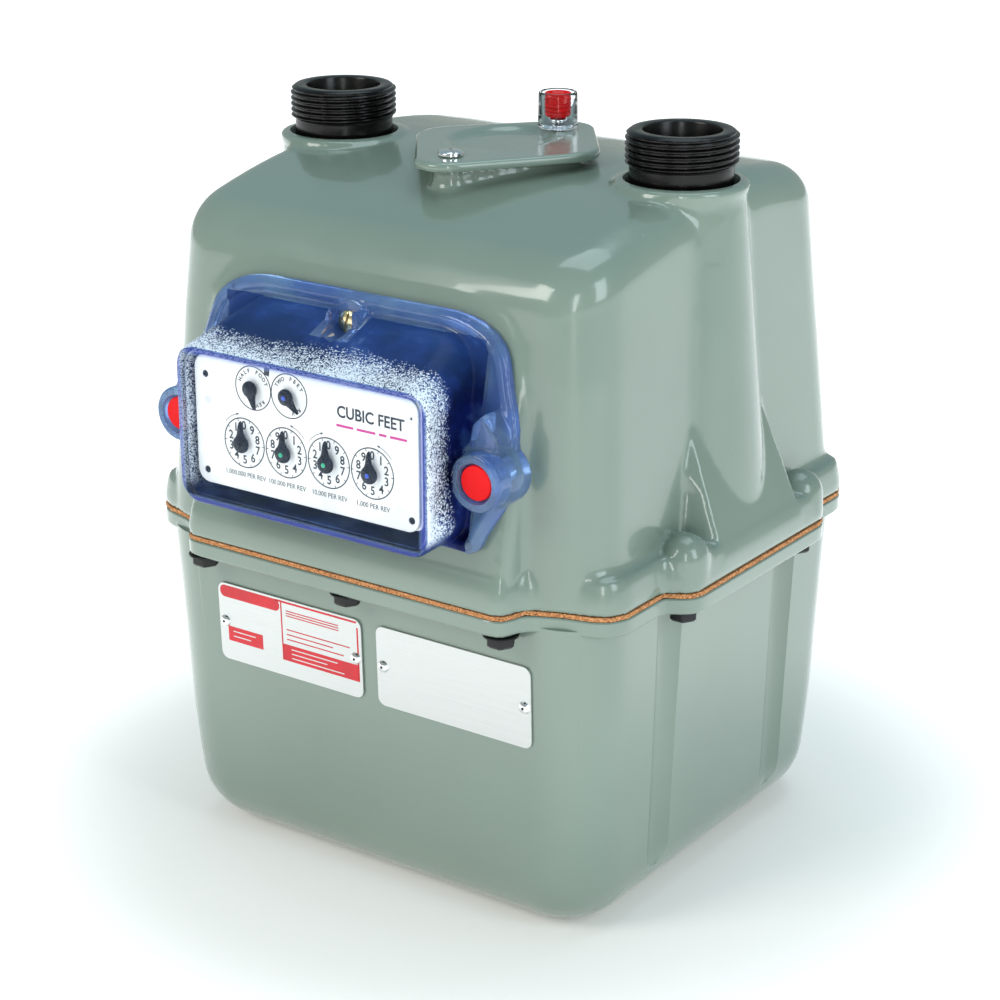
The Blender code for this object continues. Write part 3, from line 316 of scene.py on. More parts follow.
# ---- material tools
class Look:
    """A procedural material: a Principled shader with helpers for its textures."""

    def __init__(self, name, colour, roughness, metallic=0.0, **fixed):
        self.material = bpy.data.materials.new(name)
        self.material.use_nodes = True
        self.tree = self.material.node_tree
        self.shader = self.tree.nodes["Principled BSDF"]
        self.set("Base Color", (*colour, 1.0))
        self.set("Roughness", roughness)
        self.set("Metallic", metallic)
        for socket, value in fixed.items():
            self.set(socket.replace("_", " "), value)
        self.place = self.tree.nodes.new("ShaderNodeTexCoord").outputs["Object"]

    def set(self, socket, value):
        self.shader.inputs[socket].default_value = value

    def link(self, source, socket):
        self.tree.links.new(source, self.shader.inputs[socket])

    def stretched(self, scale):
        """Object coordinates stretched by a scale on each axis."""
        node = self.tree.nodes.new("ShaderNodeMapping")
        node.inputs["Scale"].default_value = scale
        self.tree.links.new(self.place, node.inputs["Vector"])
        return node.outputs["Vector"]

    def noise(self, scale, detail=3.0, rough=0.5, place=None):
        node = self.tree.nodes.new("ShaderNodeTexNoise")
        node.inputs["Scale"].default_value = scale
        node.inputs["Detail"].default_value = detail
        node.inputs["Roughness"].default_value = rough
        self.tree.links.new(place or self.place, node.inputs["Vector"])
        return node.outputs["Fac"]

    def cells(self, scale):
        node = self.tree.nodes.new("ShaderNodeTexVoronoi")
        node.inputs["Scale"].default_value = scale
        self.tree.links.new(self.place, node.inputs["Vector"])
        return node.outputs

    def ramp(self, source, *stops):
        node = self.tree.nodes.new("ShaderNodeValToRGB")
        node.color_ramp.elements[0].position = stops[0][0]
        node.color_ramp.elements[0].color = (*stops[0][1], 1.0)
        node.color_ramp.elements[1].position = stops[-1][0]
        node.color_ramp.elements[1].color = (*stops[-1][1], 1.0)
        for place, colour in stops[1:-1]:
            node.color_ramp.elements.new(place).color = (*colour, 1.0)
        self.tree.links.new(source, node.inputs["Fac"])
        return node.outputs["Color"]

    def spread(self, source, low, high, out_low=0.0, out_high=1.0):
        node = self.tree.nodes.new("ShaderNodeMapRange")
        node.interpolation_type = "SMOOTHSTEP"
        for socket, value in zip(("From Min", "From Max", "To Min", "To Max"), (low, high, out_low, out_high)):
            node.inputs[socket].default_value = value
        self.tree.links.new(source, node.inputs["Value"])
        return node.outputs["Result"]

    def sum(self, operation, first, second):
        node = self.tree.nodes.new("ShaderNodeMath")
        node.operation = operation
        for socket, value in zip(node.inputs, (first, second)):
            if isinstance(value, (int, float)):
                socket.default_value = value
            else:
                self.tree.links.new(value, socket)
        return node.outputs["Value"]

    def axes(self):
        node = self.tree.nodes.new("ShaderNodeSeparateXYZ")
        self.tree.links.new(self.place, node.inputs["Vector"])
        return node.outputs

    def mixed(self, factor, first, second):
        node = self.tree.nodes.new("ShaderNodeMix")
        node.data_type = "RGBA"
        self.tree.links.new(factor, node.inputs["Factor"])
        for socket, value in ((node.inputs["A"], first), (node.inputs["B"], second)):
            if isinstance(value, tuple):
                socket.default_value = (*value, 1.0)
            else:
                self.tree.links.new(value, socket)
        return node.outputs["Result"]

    def bump(self, height, strength, distance_mm):
        node = self.tree.nodes.new("ShaderNodeBump")
        node.inputs["Strength"].default_value = strength
        node.inputs["Distance"].default_value = distance_mm * MM
        self.tree.links.new(height, node.inputs["Height"])
        self.link(node.outputs["Normal"], "Normal")
        return self


def tinted(colour, factor):
    return tuple(min(part * factor, 1.0) for part in colour)


def paint_look():
    """Glossy grey-green enamel on a casting: faint flow, fine orange peel and a few dust nibs."""
    colour = (0.196, 0.256, 0.212)
    look = Look("case_paint", colour, 0.2, Coat_Weight=0.6, Coat_Roughness=0.05, Specular_IOR_Level=0.5)
    base = look.ramp(look.noise(9.0, 3.0), (0.35, tinted(colour, 0.94)), (0.65, tinted(colour, 1.05)))
    nib = look.spread(look.cells(95.0)["Distance"], 0.045, 0.03)
    rare = look.spread(look.noise(31.0, 1.0), 0.62, 0.66)
    base = look.mixed(look.sum("MULTIPLY", nib, rare), base, (0.5, 0.55, 0.5))
    look.link(base, "Base Color")
    look.link(look.spread(look.noise(60.0, 2.0), 0.3, 0.7, 0.16, 0.26), "Roughness")
    return look.bump(look.noise(420.0, 2.0), 0.05, 0.12)


def plain_look(name, colour, roughness, metallic, grain, depth, specular):
    """A finish with slight variation of colour and roughness, and a fine grain."""
    look = Look(name, colour, roughness, metallic, Specular_IOR_Level=specular)
    soft = look.noise(grain / 6.0, 4.0)
    look.link(look.ramp(soft, (0.3, tinted(colour, 0.86)), (0.7, tinted(colour, 1.1))), "Base Color")
    rough = look.spread(look.noise(grain, 3.0), 0.25, 0.75, roughness * 0.8, min(roughness * 1.25, 1.0))
    look.link(rough, "Roughness")
    return look.bump(look.noise(grain * 3.0, 2.0), 0.25, depth)


def brushed_look(name, colour, roughness):
    """Rolled or brushed metal with streaks along X."""
    look = Look(name, colour, roughness, 0.9)
    streak = look.noise(1.0, 4.0, 0.6, look.stretched((18.0, 900.0, 900.0)))
    look.link(look.ramp(streak, (0.3, tinted(colour, 0.93)), (0.7, tinted(colour, 1.04))), "Base Color")
    look.link(look.spread(streak, 0.3, 0.7, roughness * 0.85, roughness * 1.2), "Roughness")
    return look.bump(streak, 0.12, 0.03)


def cork_look():
    """Pressed cork: orange-brown grains with dark and pale flecks."""
    look = Look("cork", (0.42, 0.19, 0.07), 0.85)
    grain = look.cells(950.0)
    dark, brown = (0.07, 0.025, 0.01), (0.38, 0.15, 0.05)
    orange, pale = (0.62, 0.27, 0.10), (0.85, 0.52, 0.28)
    tone = look.ramp(look.noise(1300.0, 4.0, 0.7), (0.34, dark), (0.45, brown), (0.58, orange), (0.7, pale))
    look.link(tone, "Base Color")
    return look.bump(grain["Distance"], 0.6, 0.25)


def clear_front_look():
    """The clear window: almost invisible face on, blue towards its moulded edge, where the navy is partly the
    tint of the thick wall and partly painted shade for the refraction there.
    """
    look = Look("window_clear", (0.10, 0.18, 0.62), 0.03, IOR=1.49)
    across = look.axes()
    # Edge band: partly the blue of the thick moulded wall, partly painted shade standing in for refraction;
    # the window turns navy and less clear there.
    side = look.spread(look.sum("ABSOLUTE", across["X"], 0.0), 0.0515, 0.0535)
    tall = look.spread(look.sum("ABSOLUTE", look.sum("SUBTRACT", across["Z"], 0.18275), 0.0), 0.0255, 0.0275)
    edge = look.sum("MAXIMUM", side, tall)
    ripple = look.noise(240.0, 2.0)
    alpha = look.sum("ADD", look.sum("MULTIPLY", edge, 0.5), look.spread(ripple, 0.2, 0.8, 0.01, 0.03))
    look.link(alpha, "Alpha")
    look.link(look.mixed(edge, (0.35, 0.55, 0.95), (0.03, 0.06, 0.45)), "Base Color")
    return look


def frosted_look():
    """The moulded top, sides and floor of the box, a frosted skin with painted light: navy tones are painted
    shade of the dark inside seen through it, white flecks are painted light from the white dial plate behind,
    and the top is painted lighter blue for light falling from above.
    """
    look = Look("window_frosted", (0.03, 0.06, 0.3), 0.3, Specular_IOR_Level=0.08)
    place = look.axes()
    depth = look.spread(place["Y"], -0.1255, -0.1)
    cloud = look.noise(34.0, 4.0, 0.6)
    # painted shade: dark navy tones for the shaded inside of the box seen through the frosted skin
    deep, navy, lit = (0.002, 0.003, 0.028), (0.008, 0.016, 0.11), (0.06, 0.13, 0.36)
    painted_inside_shade = look.ramp(cloud, (0.42, deep), (0.54, navy), (0.7, lit))
    # painted highlight: lighter blue towards the top of the box, for light falling on it from above
    painted_top_sheen = look.spread(place["Z"], 0.2, 0.228)
    body = look.mixed(look.sum("MULTIPLY", painted_top_sheen, 0.38), painted_inside_shade, (0.045, 0.13, 0.40))
    grain = look.tree.nodes.new("ShaderNodeSeparateColor")
    look.tree.links.new(look.cells(2700.0)["Color"], grain.inputs["Color"])
    # painted light: white flecks where the white dial plate lies behind the frosted skin, more of them towards
    # the front and only above about 160 mm
    share = look.sum("ADD", look.sum("MULTIPLY", cloud, 1.1), look.sum("MULTIPLY", depth, -1.15))
    painted_plate_light = look.spread(look.sum("SUBTRACT", share, grain.outputs["Red"]), -0.34, -0.2)
    above = look.spread(place["Z"], 0.157, 0.162)
    painted_plate_light = look.sum("MULTIPLY", painted_plate_light, above)
    look.link(look.mixed(painted_plate_light, body, (0.80, 0.87, 0.97)), "Base Color")
    look.link(look.spread(cloud, 0.3, 0.7, 0.88, 0.97), "Alpha")
    return look.bump(look.noise(900.0, 2.0), 0.1, 0.06)


def blue_look():
    """The clear blue moulding of the rim, the tubes and the screw boss."""
    look = Look("window_blue", (0.30, 0.48, 0.90), 0.05, IOR=1.46, Transmission_Weight=0.8)
    tone = look.ramp(look.noise(45.0, 3.0), (0.35, (0.20, 0.36, 0.86)), (0.65, (0.42, 0.64, 0.99)))
    look.link(tone, "Base Color")
    return look.bump(look.noise(160.0, 2.0), 0.12, 0.2)


def clear_cup_look():
    """Clear plastic, a little uneven."""
    look = Look("clear_cup", (0.96, 0.97, 1.0), 0.03, IOR=1.28, Transmission_Weight=1.0)
    tone = look.ramp(look.noise(200.0, 2.0), (0.3, (0.90, 0.93, 0.99)), (0.7, (0.97, 0.98, 1.0)))
    look.link(tone, "Base Color")
    return look.bump(look.noise(350.0, 2.0), 0.08, 0.1)


# name, colour, roughness, metallic, grain, depth of the grain in mm, specular level
FINISHES = (
    ("black_bolt", (0.010, 0.010, 0.011), 0.32, 0.4, 260.0, 0.08, 0.5),
    ("black_nipple", (0.003, 0.002, 0.002), 0.24, 0.0, 180.0, 0.04, 0.3),
    ("bright_screw", (0.86, 0.86, 0.87), 0.12, 1.0, 500.0, 0.02, 0.5),
    ("red_plastic", (0.80, 0.006, 0.008), 0.35, 0.0, 150.0, 0.04, 0.15),
    ("brass_screw", (0.80, 0.66, 0.38), 0.14, 1.0, 500.0, 0.02, 0.5),
    ("steel", (0.55, 0.55, 0.57), 0.3, 1.0, 420.0, 0.03, 0.5),
    ("dial_white", (0.95, 0.98, 1.0), 0.38, 0.0, 300.0, 0.03, 0.5),
    ("hand_black", (0.006, 0.006, 0.008), 0.25, 0.0, 220.0, 0.03, 0.25),
    ("brass", (0.66, 0.49, 0.22), 0.3, 1.0, 420.0, 0.03, 0.5),
    ("grey_resin", (0.27, 0.28, 0.30), 0.5, 0.0, 240.0, 0.12, 0.5),
    ("dark_resin", (0.05, 0.05, 0.06), 0.42, 0.0, 240.0, 0.06, 0.5),
    ("diaphragm_fabric", (0.10, 0.08, 0.06), 0.85, 0.0, 700.0, 0.3, 0.5),
    ("ink_black", (0.012, 0.012, 0.016), 0.45, 0.0, 500.0, 0.01, 0.5),
    ("ink_magenta", (0.62, 0.03, 0.28), 0.45, 0.0, 500.0, 0.01, 0.5),
    ("ink_red", (0.62, 0.012, 0.022), 0.4, 0.0, 500.0, 0.01, 0.5),
    ("pin_green", (0.02, 0.42, 0.22), 0.3, 0.0, 500.0, 0.01, 0.5),
    ("pin_blue", (0.04, 0.10, 0.62), 0.3, 0.0, 500.0, 0.01, 0.5),
)
LOOKS = {finish[0]: plain_look(*finish) for finish in FINISHES}
LOOKS["case_paint"] = paint_look()
LOOKS["cork"] = cork_look()
LOOKS["clear_cup"] = clear_cup_look()
LOOKS["blue_window"] = blue_look()
LOOKS["plate_aluminium"] = brushed_look("plate_aluminium", (0.64, 0.65, 0.645), 0.42)
LOOKS["frame_aluminium"] = brushed_look("frame_aluminium", (0.76, 0.77, 0.79), 0.35)
LOOKS["sheet_steel"] = brushed_look("sheet_steel", (0.60, 0.61, 0.62), 0.4)
CLEAR_FRONT = clear_front_look()
FROSTED = frosted_look()


def dress(obj, look, body, slot, *nodes):
    """Gives a finished piece its material and its body, and hides the CAD nodes that it stands for; slot is
    not used.
    """
    obj.data.materials.clear()
    obj.data.materials.append(LOOKS[look].material)
    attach(obj, body)
    if nodes:
        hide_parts(*nodes)
    return obj


def dress_case(obj, slot, *nodes):
    """Dresses a piece that stays with the case, in the look that has its slot's name."""
    return dress(obj, slot, "case", slot, *nodes)


# ---- the cast shells
def lower_half(z):
    return 101.5 - 0.034 * (130.0 - z), 92.0 - 0.034 * (130.0 - z)


def upper_half(z):
    return 100.1 - 0.062 * (z - 130.0), 91.7 - 0.062 * (z - 130.0)


def roof(y):
    return 264.0 - 0.00166 * (y - 15.0) ** 2


def plinth_y(z):
    return -(104.8 - 0.19 * (z - 131.0))


def shell_ring(half_x, half_y, radius, height, front=None, corner=12, side=14):
    """A rounded rectangle at a height; its front corners may have a radius of their own."""
    flat = []
    signs = ((1.0, 1.0), (-1.0, 1.0), (-1.0, -1.0), (1.0, -1.0))
    radii = (radius, radius, front or radius, front or radius)

    def corner_point(quarter, angle):
        sx, sy = signs[quarter]
        bend = radii[quarter]
        return (sx * (half_x - bend) + bend * math.cos(angle), sy * (half_y - bend) + bend * math.sin(angle))

    for quarter in range(4):
        for k in range(corner + 1):
            flat.append(corner_point(quarter, (quarter + k / corner) * math.pi / 2.0))
        after = corner_point((quarter + 1) % 4, (quarter + 1) * math.pi / 2.0)
        here = flat[-1]
        for k in range(1, side + 1):
            flat.append(tuple(a + (b - a) * k / (side + 1) for a, b in zip(here, after)))
    return [(x, y, height(y) if callable(height) else height) for x, y in flat]


def lower_rings(inset, floor, top):
    rings = []
    bend = 24.0 - inset
    for k in range(21):
        angle = math.pi / 2.0 * k / 20
        z = floor + bend * (1.0 - math.cos(angle))
        half_x, half_y = lower_half(z)
        back = bend * (1.0 - math.sin(angle)) + inset
        rings.append(shell_ring(half_x - back, half_y - back, 27.0 - back, z, corner=20))
    for z, radius in ((34.0, 25.5), (48.0, 24.0), (top, 23.0)):
        half_x, half_y = lower_half(z)
        rings.append(shell_ring(half_x - inset, half_y - inset, radius - inset, z, corner=20))
    return rings


def roof_below(drop):
    """The height of a surface that lies below the roof by drop, as a function of y."""
    return lambda y: roof(y) - drop


def upper_rings(inset, low):
    """Rings from the rim up over the shoulder and across the roof."""
    rings = []
    for z, corner in ((low, 21.0), (180.0, 23.0), (210.0, 25.0)):
        half_x, half_y = upper_half(z)
        rings.append(shell_ring(half_x - inset, half_y - inset, corner - inset, z, 21.0 - inset))
    half_x, half_y = upper_half(237.0)
    bend = 15.0 - inset
    for k in range(13):
        angle = math.pi / 2.0 * k / 12
        back = inset + bend * (1.0 - math.cos(angle))
        height = roof_below(inset + bend * (1.0 - math.sin(angle)))
        rings.append(shell_ring(half_x - back, half_y - back, 28.0 - back, height, 22.0 - back))
    last = rings[-1]
    for share in (0.9, 0.8, 0.68, 0.54, 0.4, 0.26, 0.12, 0.04):
        rings.append([(x * share, y * share, roof(y * share) - inset) for x, y, _z in last])
    return rings


def grown(outline, offset):
    """A closed outline moved outwards by offset."""
    made = []
    for place, point in enumerate(outline):
        before, after = outline[place - 1], outline[(place + 1) % len(outline)]
        way = Vector((after[1] - before[1], before[0] - after[0])).normalized()
        made.append((point[0] + way.x * offset, point[1] + way.y * offset))
    return made


def rim_skin(name, levels):
    """A plate with the rim's outline, through (growth, height) levels."""
    return skin(name, [[(x, y, z) for x, y in grown(RIM, offset)] for offset, z in levels])


def plinth(side):
    """The flat raised field on the front or back wall, fading out under the roof."""
    rings = []
    levels = (
        (UPPER_LOW + 1.0, 71.5), (200.0, 71.0), (214.0, 70.6), (221.0, 69.3), (226.0, 67.0), (230.0, 63.5),
        (233.5, 58.0), (236.0, 51.0), (237.4, 42.0),
    )
    for z, half in levels:
        face = -plinth_y(z)
        points = ((half + 5.0, 80.0), (half, face - 2.5), (half - 2.5, face))
        rings.append([(x, side * y, z) for x, y in (*points, *[(-x, y) for x, y in reversed(points)])])
    return skin("plinth", rings)


def apron(side):
    rings = []
    for z in (UPPER_LOW + 1.0, 137.0, 160.0, 184.0):
        face = 115.3 - 0.40 * max(z - 137.0, 0.0)
        half = 30.0 - 0.09 * max(z - 137.0, 0.0)
        points = ((88.0, half + 6.0), (face - 2.0, half), (face, half - 1.6))
        rings.append([(side * x, y, z) for x, y in (*points, *[(x, -y) for x, y in reversed(points)])])
    return skin("apron", rings)


def pilaster_radius(z):
    return 23.7 + 0.094 * (258.0 - z)


def radial(x, y):
    return np.sqrt((np.abs(x) - HUB_X) ** 2 + y**2)


def band(value, low, high, soft):
    """1 between low and high, fading to 0 over soft outside them."""
    return np.clip((value - low) / soft + 1.0, 0.0, 1.0) * np.clip((high - value) / soft + 1.0, 0.0, 1.0)


def upper_solids():
    """The overlapping solids that the upper casting is melted from."""
    pieces = [skin("body", upper_rings(0.0, UPPER_LOW + 0.8)), plinth(-1.0), plinth(1.0)]
    ledge = ((0.0, UPPER_LOW), (0.0, 134.5), (-0.9, 139.5), (-1.8, 142.4), (-3.0, 143.2), (-5.0, 143.4))
    pieces.append(rim_skin("ledge", ledge))
    cone = ((0.0, 257.0), (pilaster_radius(257.0), 257.0), (pilaster_radius(140.0), 140.0), (0.0, 140.0))
    lip = (
        (0.0, COLLAR_TOP), (23.0, COLLAR_TOP), (24.0, 264.6), (24.5, 263.6), (24.4, 262.2), (23.8, 261.0),
        (23.4, 259.6), (23.4, 240.0), (0.0, 240.0),
    )
    dome = [(0.0, 134.0), (9.2, 134.0), (9.0, 141.0)]
    dome += [(9.0 * math.cos(a), 141.0 + 9.2 * math.sin(a)) for a in (0.3, 0.6, 0.9, 1.2)]
    dome.append((0.0, 150.2))
    for side in (-1.0, 1.0):
        pieces.append(apron(side))
        pieces.append(turned("pilaster", cone, 96, at=(side * HUB_X, 0.0)))
        pieces.append(turned("collar", lip, 96, at=(side * HUB_X, 0.0)))
        for y in (-SIDE_BOLT_Y, SIDE_BOLT_Y):
            pieces.append(turned("dome", dome, 48, at=(side * SIDE_BOLT_X, y)))
    pieces.append(column("curb", wrapped(COVER_CIRCLES, -7.5, 96), 254.0, COVER_LOW - 0.3))
    post = ((0.0, 266.2), (6.3, 266.2), (6.3, 262.0), (7.0, 259.5), (8.6, 257.5), (9.0, 250.0), (0.0, 250.0))
    pieces.append(turned("post", post, 48, at=COVER_SCREW))
    return pieces


def collar_zone(x, y, z):
    return band(radial(x, y), 20.0, 29.0, 4.0) * band(z, 240.0, 258.0, 2.0) * (np.abs(x) < 100.0)


def pilaster_zone(x, y, z):
    return band(np.abs(y), 19.0, 33.0, 4.0) * band(np.abs(x), 84.0, 100.0, 2.0) * band(z, 190.0, 244.0, 8.0)


def ledge_zone(x, y, z):
    on_shell = (np.abs(x) < 101.0) * (np.abs(y) < 93.0) * (np.abs(y) > 46.0)
    return 0.6 * band(z, 144.0, 149.0, 1.5) * on_shell


def plinth_zone(x, y, z):
    at_edge = band(np.abs(x), 70.0, 80.0, 4.0) * band(np.abs(y), 82.0, 92.0, 3.0)
    return 0.7 * at_edge * band(z, 150.0, 236.0, 6.0)


def upper_hollows():
    """The cavity, the wells and the holes of the upper casting."""
    tools = [skin("hollow", upper_rings(WALL, UPPER_LOW - 2.0))]
    flue = ((0.0, 236.0), (20.0, 236.0), (pilaster_radius(170.0) - 4.5, 170.0), (0.0, 160.0))
    well = (
        (0.0, 270.0), (20.9, 270.0), (20.9, 264.8), (20.5, 264.2), (20.5, 259.0), (18.0, 258.9),
        (18.0, 200.0), (0.0, 200.0),
    )
    for side in (-1.0, 1.0):
        tools.append(turned("flue", flue, 48, at=(side * HUB_X, 0.0)))
        tools.append(turned("well", well, 96, at=(side * HUB_X, 0.0)))
    opening = ((21.0, 0.0, 5.0), (3.0, 12.0, 5.0), (-14.0, -2.0, 7.0), (3.0, -18.0, 5.0))
    tools.append(column("access", wrapped(opening, 0.0, 64), 240.0, 275.0))
    tools += [rod("tap", TAP, 260.5, 275.0, 24, at=at) for at in (COVER_SCREW, SEAL_SCREW)]
    tools += [rod("hole", BOLT_HOLE, UPPER_LOW - 2.0, 140.0, 24, at=at) for at in BOLTS]
    tools.append(rod("tap", TAP, -110.0, -84.0, 24, "Y", (0.0, TOP_SCREW_Z)))
    tools += [rod("tap", TAP, -110.0, -87.5, 24, "Y", (x, TUBE_Z)) for x in (-TUBE_X, TUBE_X)]
    tools.append(rod("axle_hole", 5.3, -110.0, -75.0, 32, "Y", TWO_FEET))
    return tools


def make_upper_case():
    zones = (collar_zone, pilaster_zone, ledge_zone, plinth_zone)
    body = cast(joined("upper_shell", upper_solids()), 1.1, 4, zones, 36)
    carved(body, upper_hollows(), solver="MANIFOLD")
    return dress_case(shade(body, True, 38.0), "case_paint", "upper_case")


def make_lower_case():
    """The lower shell with its rim, and the long flutes under the side bolts."""
    body = skin("body", lower_rings(0.0, 0.0, RIM_LOW + 2.0))
    rim = (
        (-1.3, RIM_LOW), (-0.6, RIM_LOW + 0.15), (-0.15, RIM_LOW + 0.6), (0.0, RIM_LOW + 1.3),
        (0.0, RIM_SPLIT - 0.5), (-0.4, RIM_SPLIT),
    )
    carved(body, [rim_skin("rim", rim)], "UNION")
    carved(body, [skin("hollow", lower_rings(WALL, WALL, RIM_SPLIT + 3.0))])
    flute = (
        (0.0, 122.9), (9.9, 122.9), (10.1, 80.0), (10.8, 40.0), (11.2, 26.0), (10.9, 21.0), (9.8, 17.0),
        (7.6, 13.8), (4.0, 11.8), (0.0, 11.0),
    )
    for x in (-SIDE_BOLT_X, SIDE_BOLT_X):
        for y in (-SIDE_BOLT_Y, SIDE_BOLT_Y):
            bulge = rod("bulge", 13.2, 9.0, 124.0, 64, at=(x, y))
            carved(bulge, [skin("keep", lower_rings(0.6, 0.6, 126.0))], "INTERSECT")
            carved(body, [bulge], "UNION")
            carved(body, [turned("flute", flute, 96, at=(x, y))])
    carved(body, [rod("hole", BOLT_HOLE, RIM_LOW - 1.0, RIM_SPLIT + 2.0, 24, at=at) for at in BOLTS])
    return dress_case(shade(body, True, 33.0), "case_paint", "lower_case")


# ---- nipples, bolts and the cover
def make_nipple(name, node, at_x):
    """Threaded nipple: the helix runs up its outside, and the skin turns over the rim and down the bore."""
    around, pitch, rows, thread_low = 120, 2.2, 84, 269.8

    def ring(radius_at, z):
        points = []
        for k in range(around):
            angle = TURN * k / around
            radius = radius_at(angle) if callable(radius_at) else radius_at
            points.append((at_x + radius * math.cos(angle), radius * math.sin(angle), z))
        return points

    neck = (
        (14.0, NIPPLE_LOW), (17.4, NIPPLE_LOW), (17.7, NIPPLE_LOW + 0.3), (17.7, 259.3), (18.5, 259.3),
        (18.7, 259.6), (18.7, 269.4),
    )
    rings = [ring(radius, z) for radius, z in neck]
    for row in range(rows + 1):
        z = thread_low + (NIPPLE_TOP - 0.5 - thread_low) * row / rows
        lead_in = min(1.0, (z - thread_low) / 1.6)
        lead_out = min(1.0, (NIPPLE_TOP - z) / 1.5)

        def thread(angle, z=z, lead_in=lead_in, lead_out=lead_out):
            share = ((z / pitch) - angle / TURN) % 1.0
            wave = min(1.0, max(0.0, 1.5 - abs(share - 0.5) * 4.2))
            top = 18.7 + (CREST - 18.75) * min(1.0, lead_in * 1.3)
            deep = top - 1.25 * lead_in
            return min(deep + (top - deep) * wave, 18.4 + (CREST - 18.4) * lead_out)

        rings.append(ring(thread, z))
    mouth = (
        (18.3, NIPPLE_TOP), (17.0, NIPPLE_TOP), (14.8, NIPPLE_TOP), (14.25, NIPPLE_TOP - 0.25),
        (14.0, NIPPLE_TOP - 0.8), (14.0, 262.0),
    )
    rings += [ring(radius, z) for radius, z in mouth]
    return dress_case(skin(name, rings, True, 40.0), "black_nipple", node)


def make_bolt(number, at):
    """A flanged hexagon head under the rim, with its shank up through both rims."""
    centre = Vector(at)
    turns = [TURN * k / 6 for k in range(6)]
    hexagon = round_corners([(at[0] + 5.4 * math.cos(a), at[1] + 5.4 * math.sin(a)) for a in turns], 0.7, 3)
    small = [tuple(centre + (Vector(point) - centre) * 0.86) for point in hexagon]
    levels = ((small, BOLT_LOW), (hexagon, BOLT_LOW + 0.8), (hexagon, 122.2))
    head = skin("head", [[(*point, z) for point in outline] for outline, z in levels], sharp=30.0)
    washer = ((3.0, 122.5), (6.2, 122.5), (6.5, 122.2), (6.4, 121.7), (5.0, 121.0), (3.0, 121.0))
    shank = ((0.0, 139.0), (2.4, 139.0), (3.0, 138.2), (3.0, 121.5), (0.0, 121.5))
    carved(head, [turned("washer", washer, 48, at=at), turned("shank", shank, 32, at=at)], "UNION")
    head.name = f"case_bolt_{number:02d}"
    dress_case(shade(head, True, 32.0), "black_bolt", f"flange_bolt_{number:02d}")


def make_cover():
    """The roof plate: bevelled band round four circles, with an oval dish pressed in its top."""
    count = 160
    edge = (
        (-1.2, COVER_LOW), (-0.35, COVER_LOW + 0.35), (0.0, COVER_LOW + 1.1), (0.0, COVER_TOP - 1.3),
        (-0.3, COVER_TOP - 0.55), (-1.0, COVER_TOP - 0.1), (-1.8, COVER_TOP),
    )
    rings = [[(x * 0.05, y * 0.05, COVER_LOW) for x, y in wrapped(COVER_CIRCLES, 0.0, count)]]
    rings += [[(*p, z) for p in wrapped(COVER_CIRCLES, offset, count)] for offset, z in edge]
    outline = wrapped(COVER_CIRCLES, -1.8, count)
    centre = Vector((-3.0, 2.0))

    def dished(x, y):
        reach = math.hypot((x - centre.x) / 19.5, (y - centre.y) / 24.5)
        if reach >= 1.0:
            return COVER_TOP
        fall = min(1.0, (1.0 - reach) / 0.24)
        return COVER_TOP - 1.9 * (3.0 * fall**2 - 2.0 * fall**3)

    for share in [0.97 - 0.04 * k for k in range(14)] + [0.4, 0.34, 0.26, 0.16, 0.05]:
        ring = [tuple(centre + (Vector(point) - centre) * share) for point in outline]
        rings.append([(x, y, dished(x, y)) for x, y in ring])
    body = skin("roof_cover", rings)
    ends = (COVER_LOW - 1.0, COVER_TOP + 1.0)
    tools = [rod("hole", SCREW_HOLE, *ends, 24, at=at) for at in (COVER_SCREW, SEAL_SCREW)]
    return dress_case(shade(carved(body, tools), True, 40.0), "case_paint", "access_cover")


def slotted_screw(name, node, axis, at, face, height, radius, shank_end, slot_deg, look):
    """A pan head with a slot, standing up from face by height along +Z, or out along -Y."""
    way = 1.0 if axis == "Z" else -1.0
    profile = [(0.0, face + way * height)]
    for k in range(1, 8):
        angle = math.pi / 2.0 * k / 7
        rise = height * 0.42 + height * 0.58 * math.cos(angle)
        profile.append((radius * math.sin(angle) ** 0.9, face + way * rise))
    profile += [(radius, face + way * 0.15), (radius - 0.15, face)]
    profile += [(2.0, face), (2.0, shank_end), (0.0, shank_end)]
    body = turned(name, profile, 64, axis, at)
    tool = block("slot", (-0.5, -9.0, -1.0), (0.5, 9.0, 1.0))
    depth = face + way * (height + 1.0 - height * 0.45)
    place = (at[0], at[1], depth) if axis == "Z" else (at[0], depth, at[1])
    if axis == "Y":
        tool.data.transform(Matrix.Rotation(math.radians(90.0), 4, "X"))
    tool.data.transform(Matrix.Rotation(math.radians(slot_deg), 4, axis))
    tool.data.transform(Matrix.Translation(Vector(place) * MM))
    return dress(shade(carved(body, [tool]), True, 35.0), look, "case", SLOT_OF[node], node)


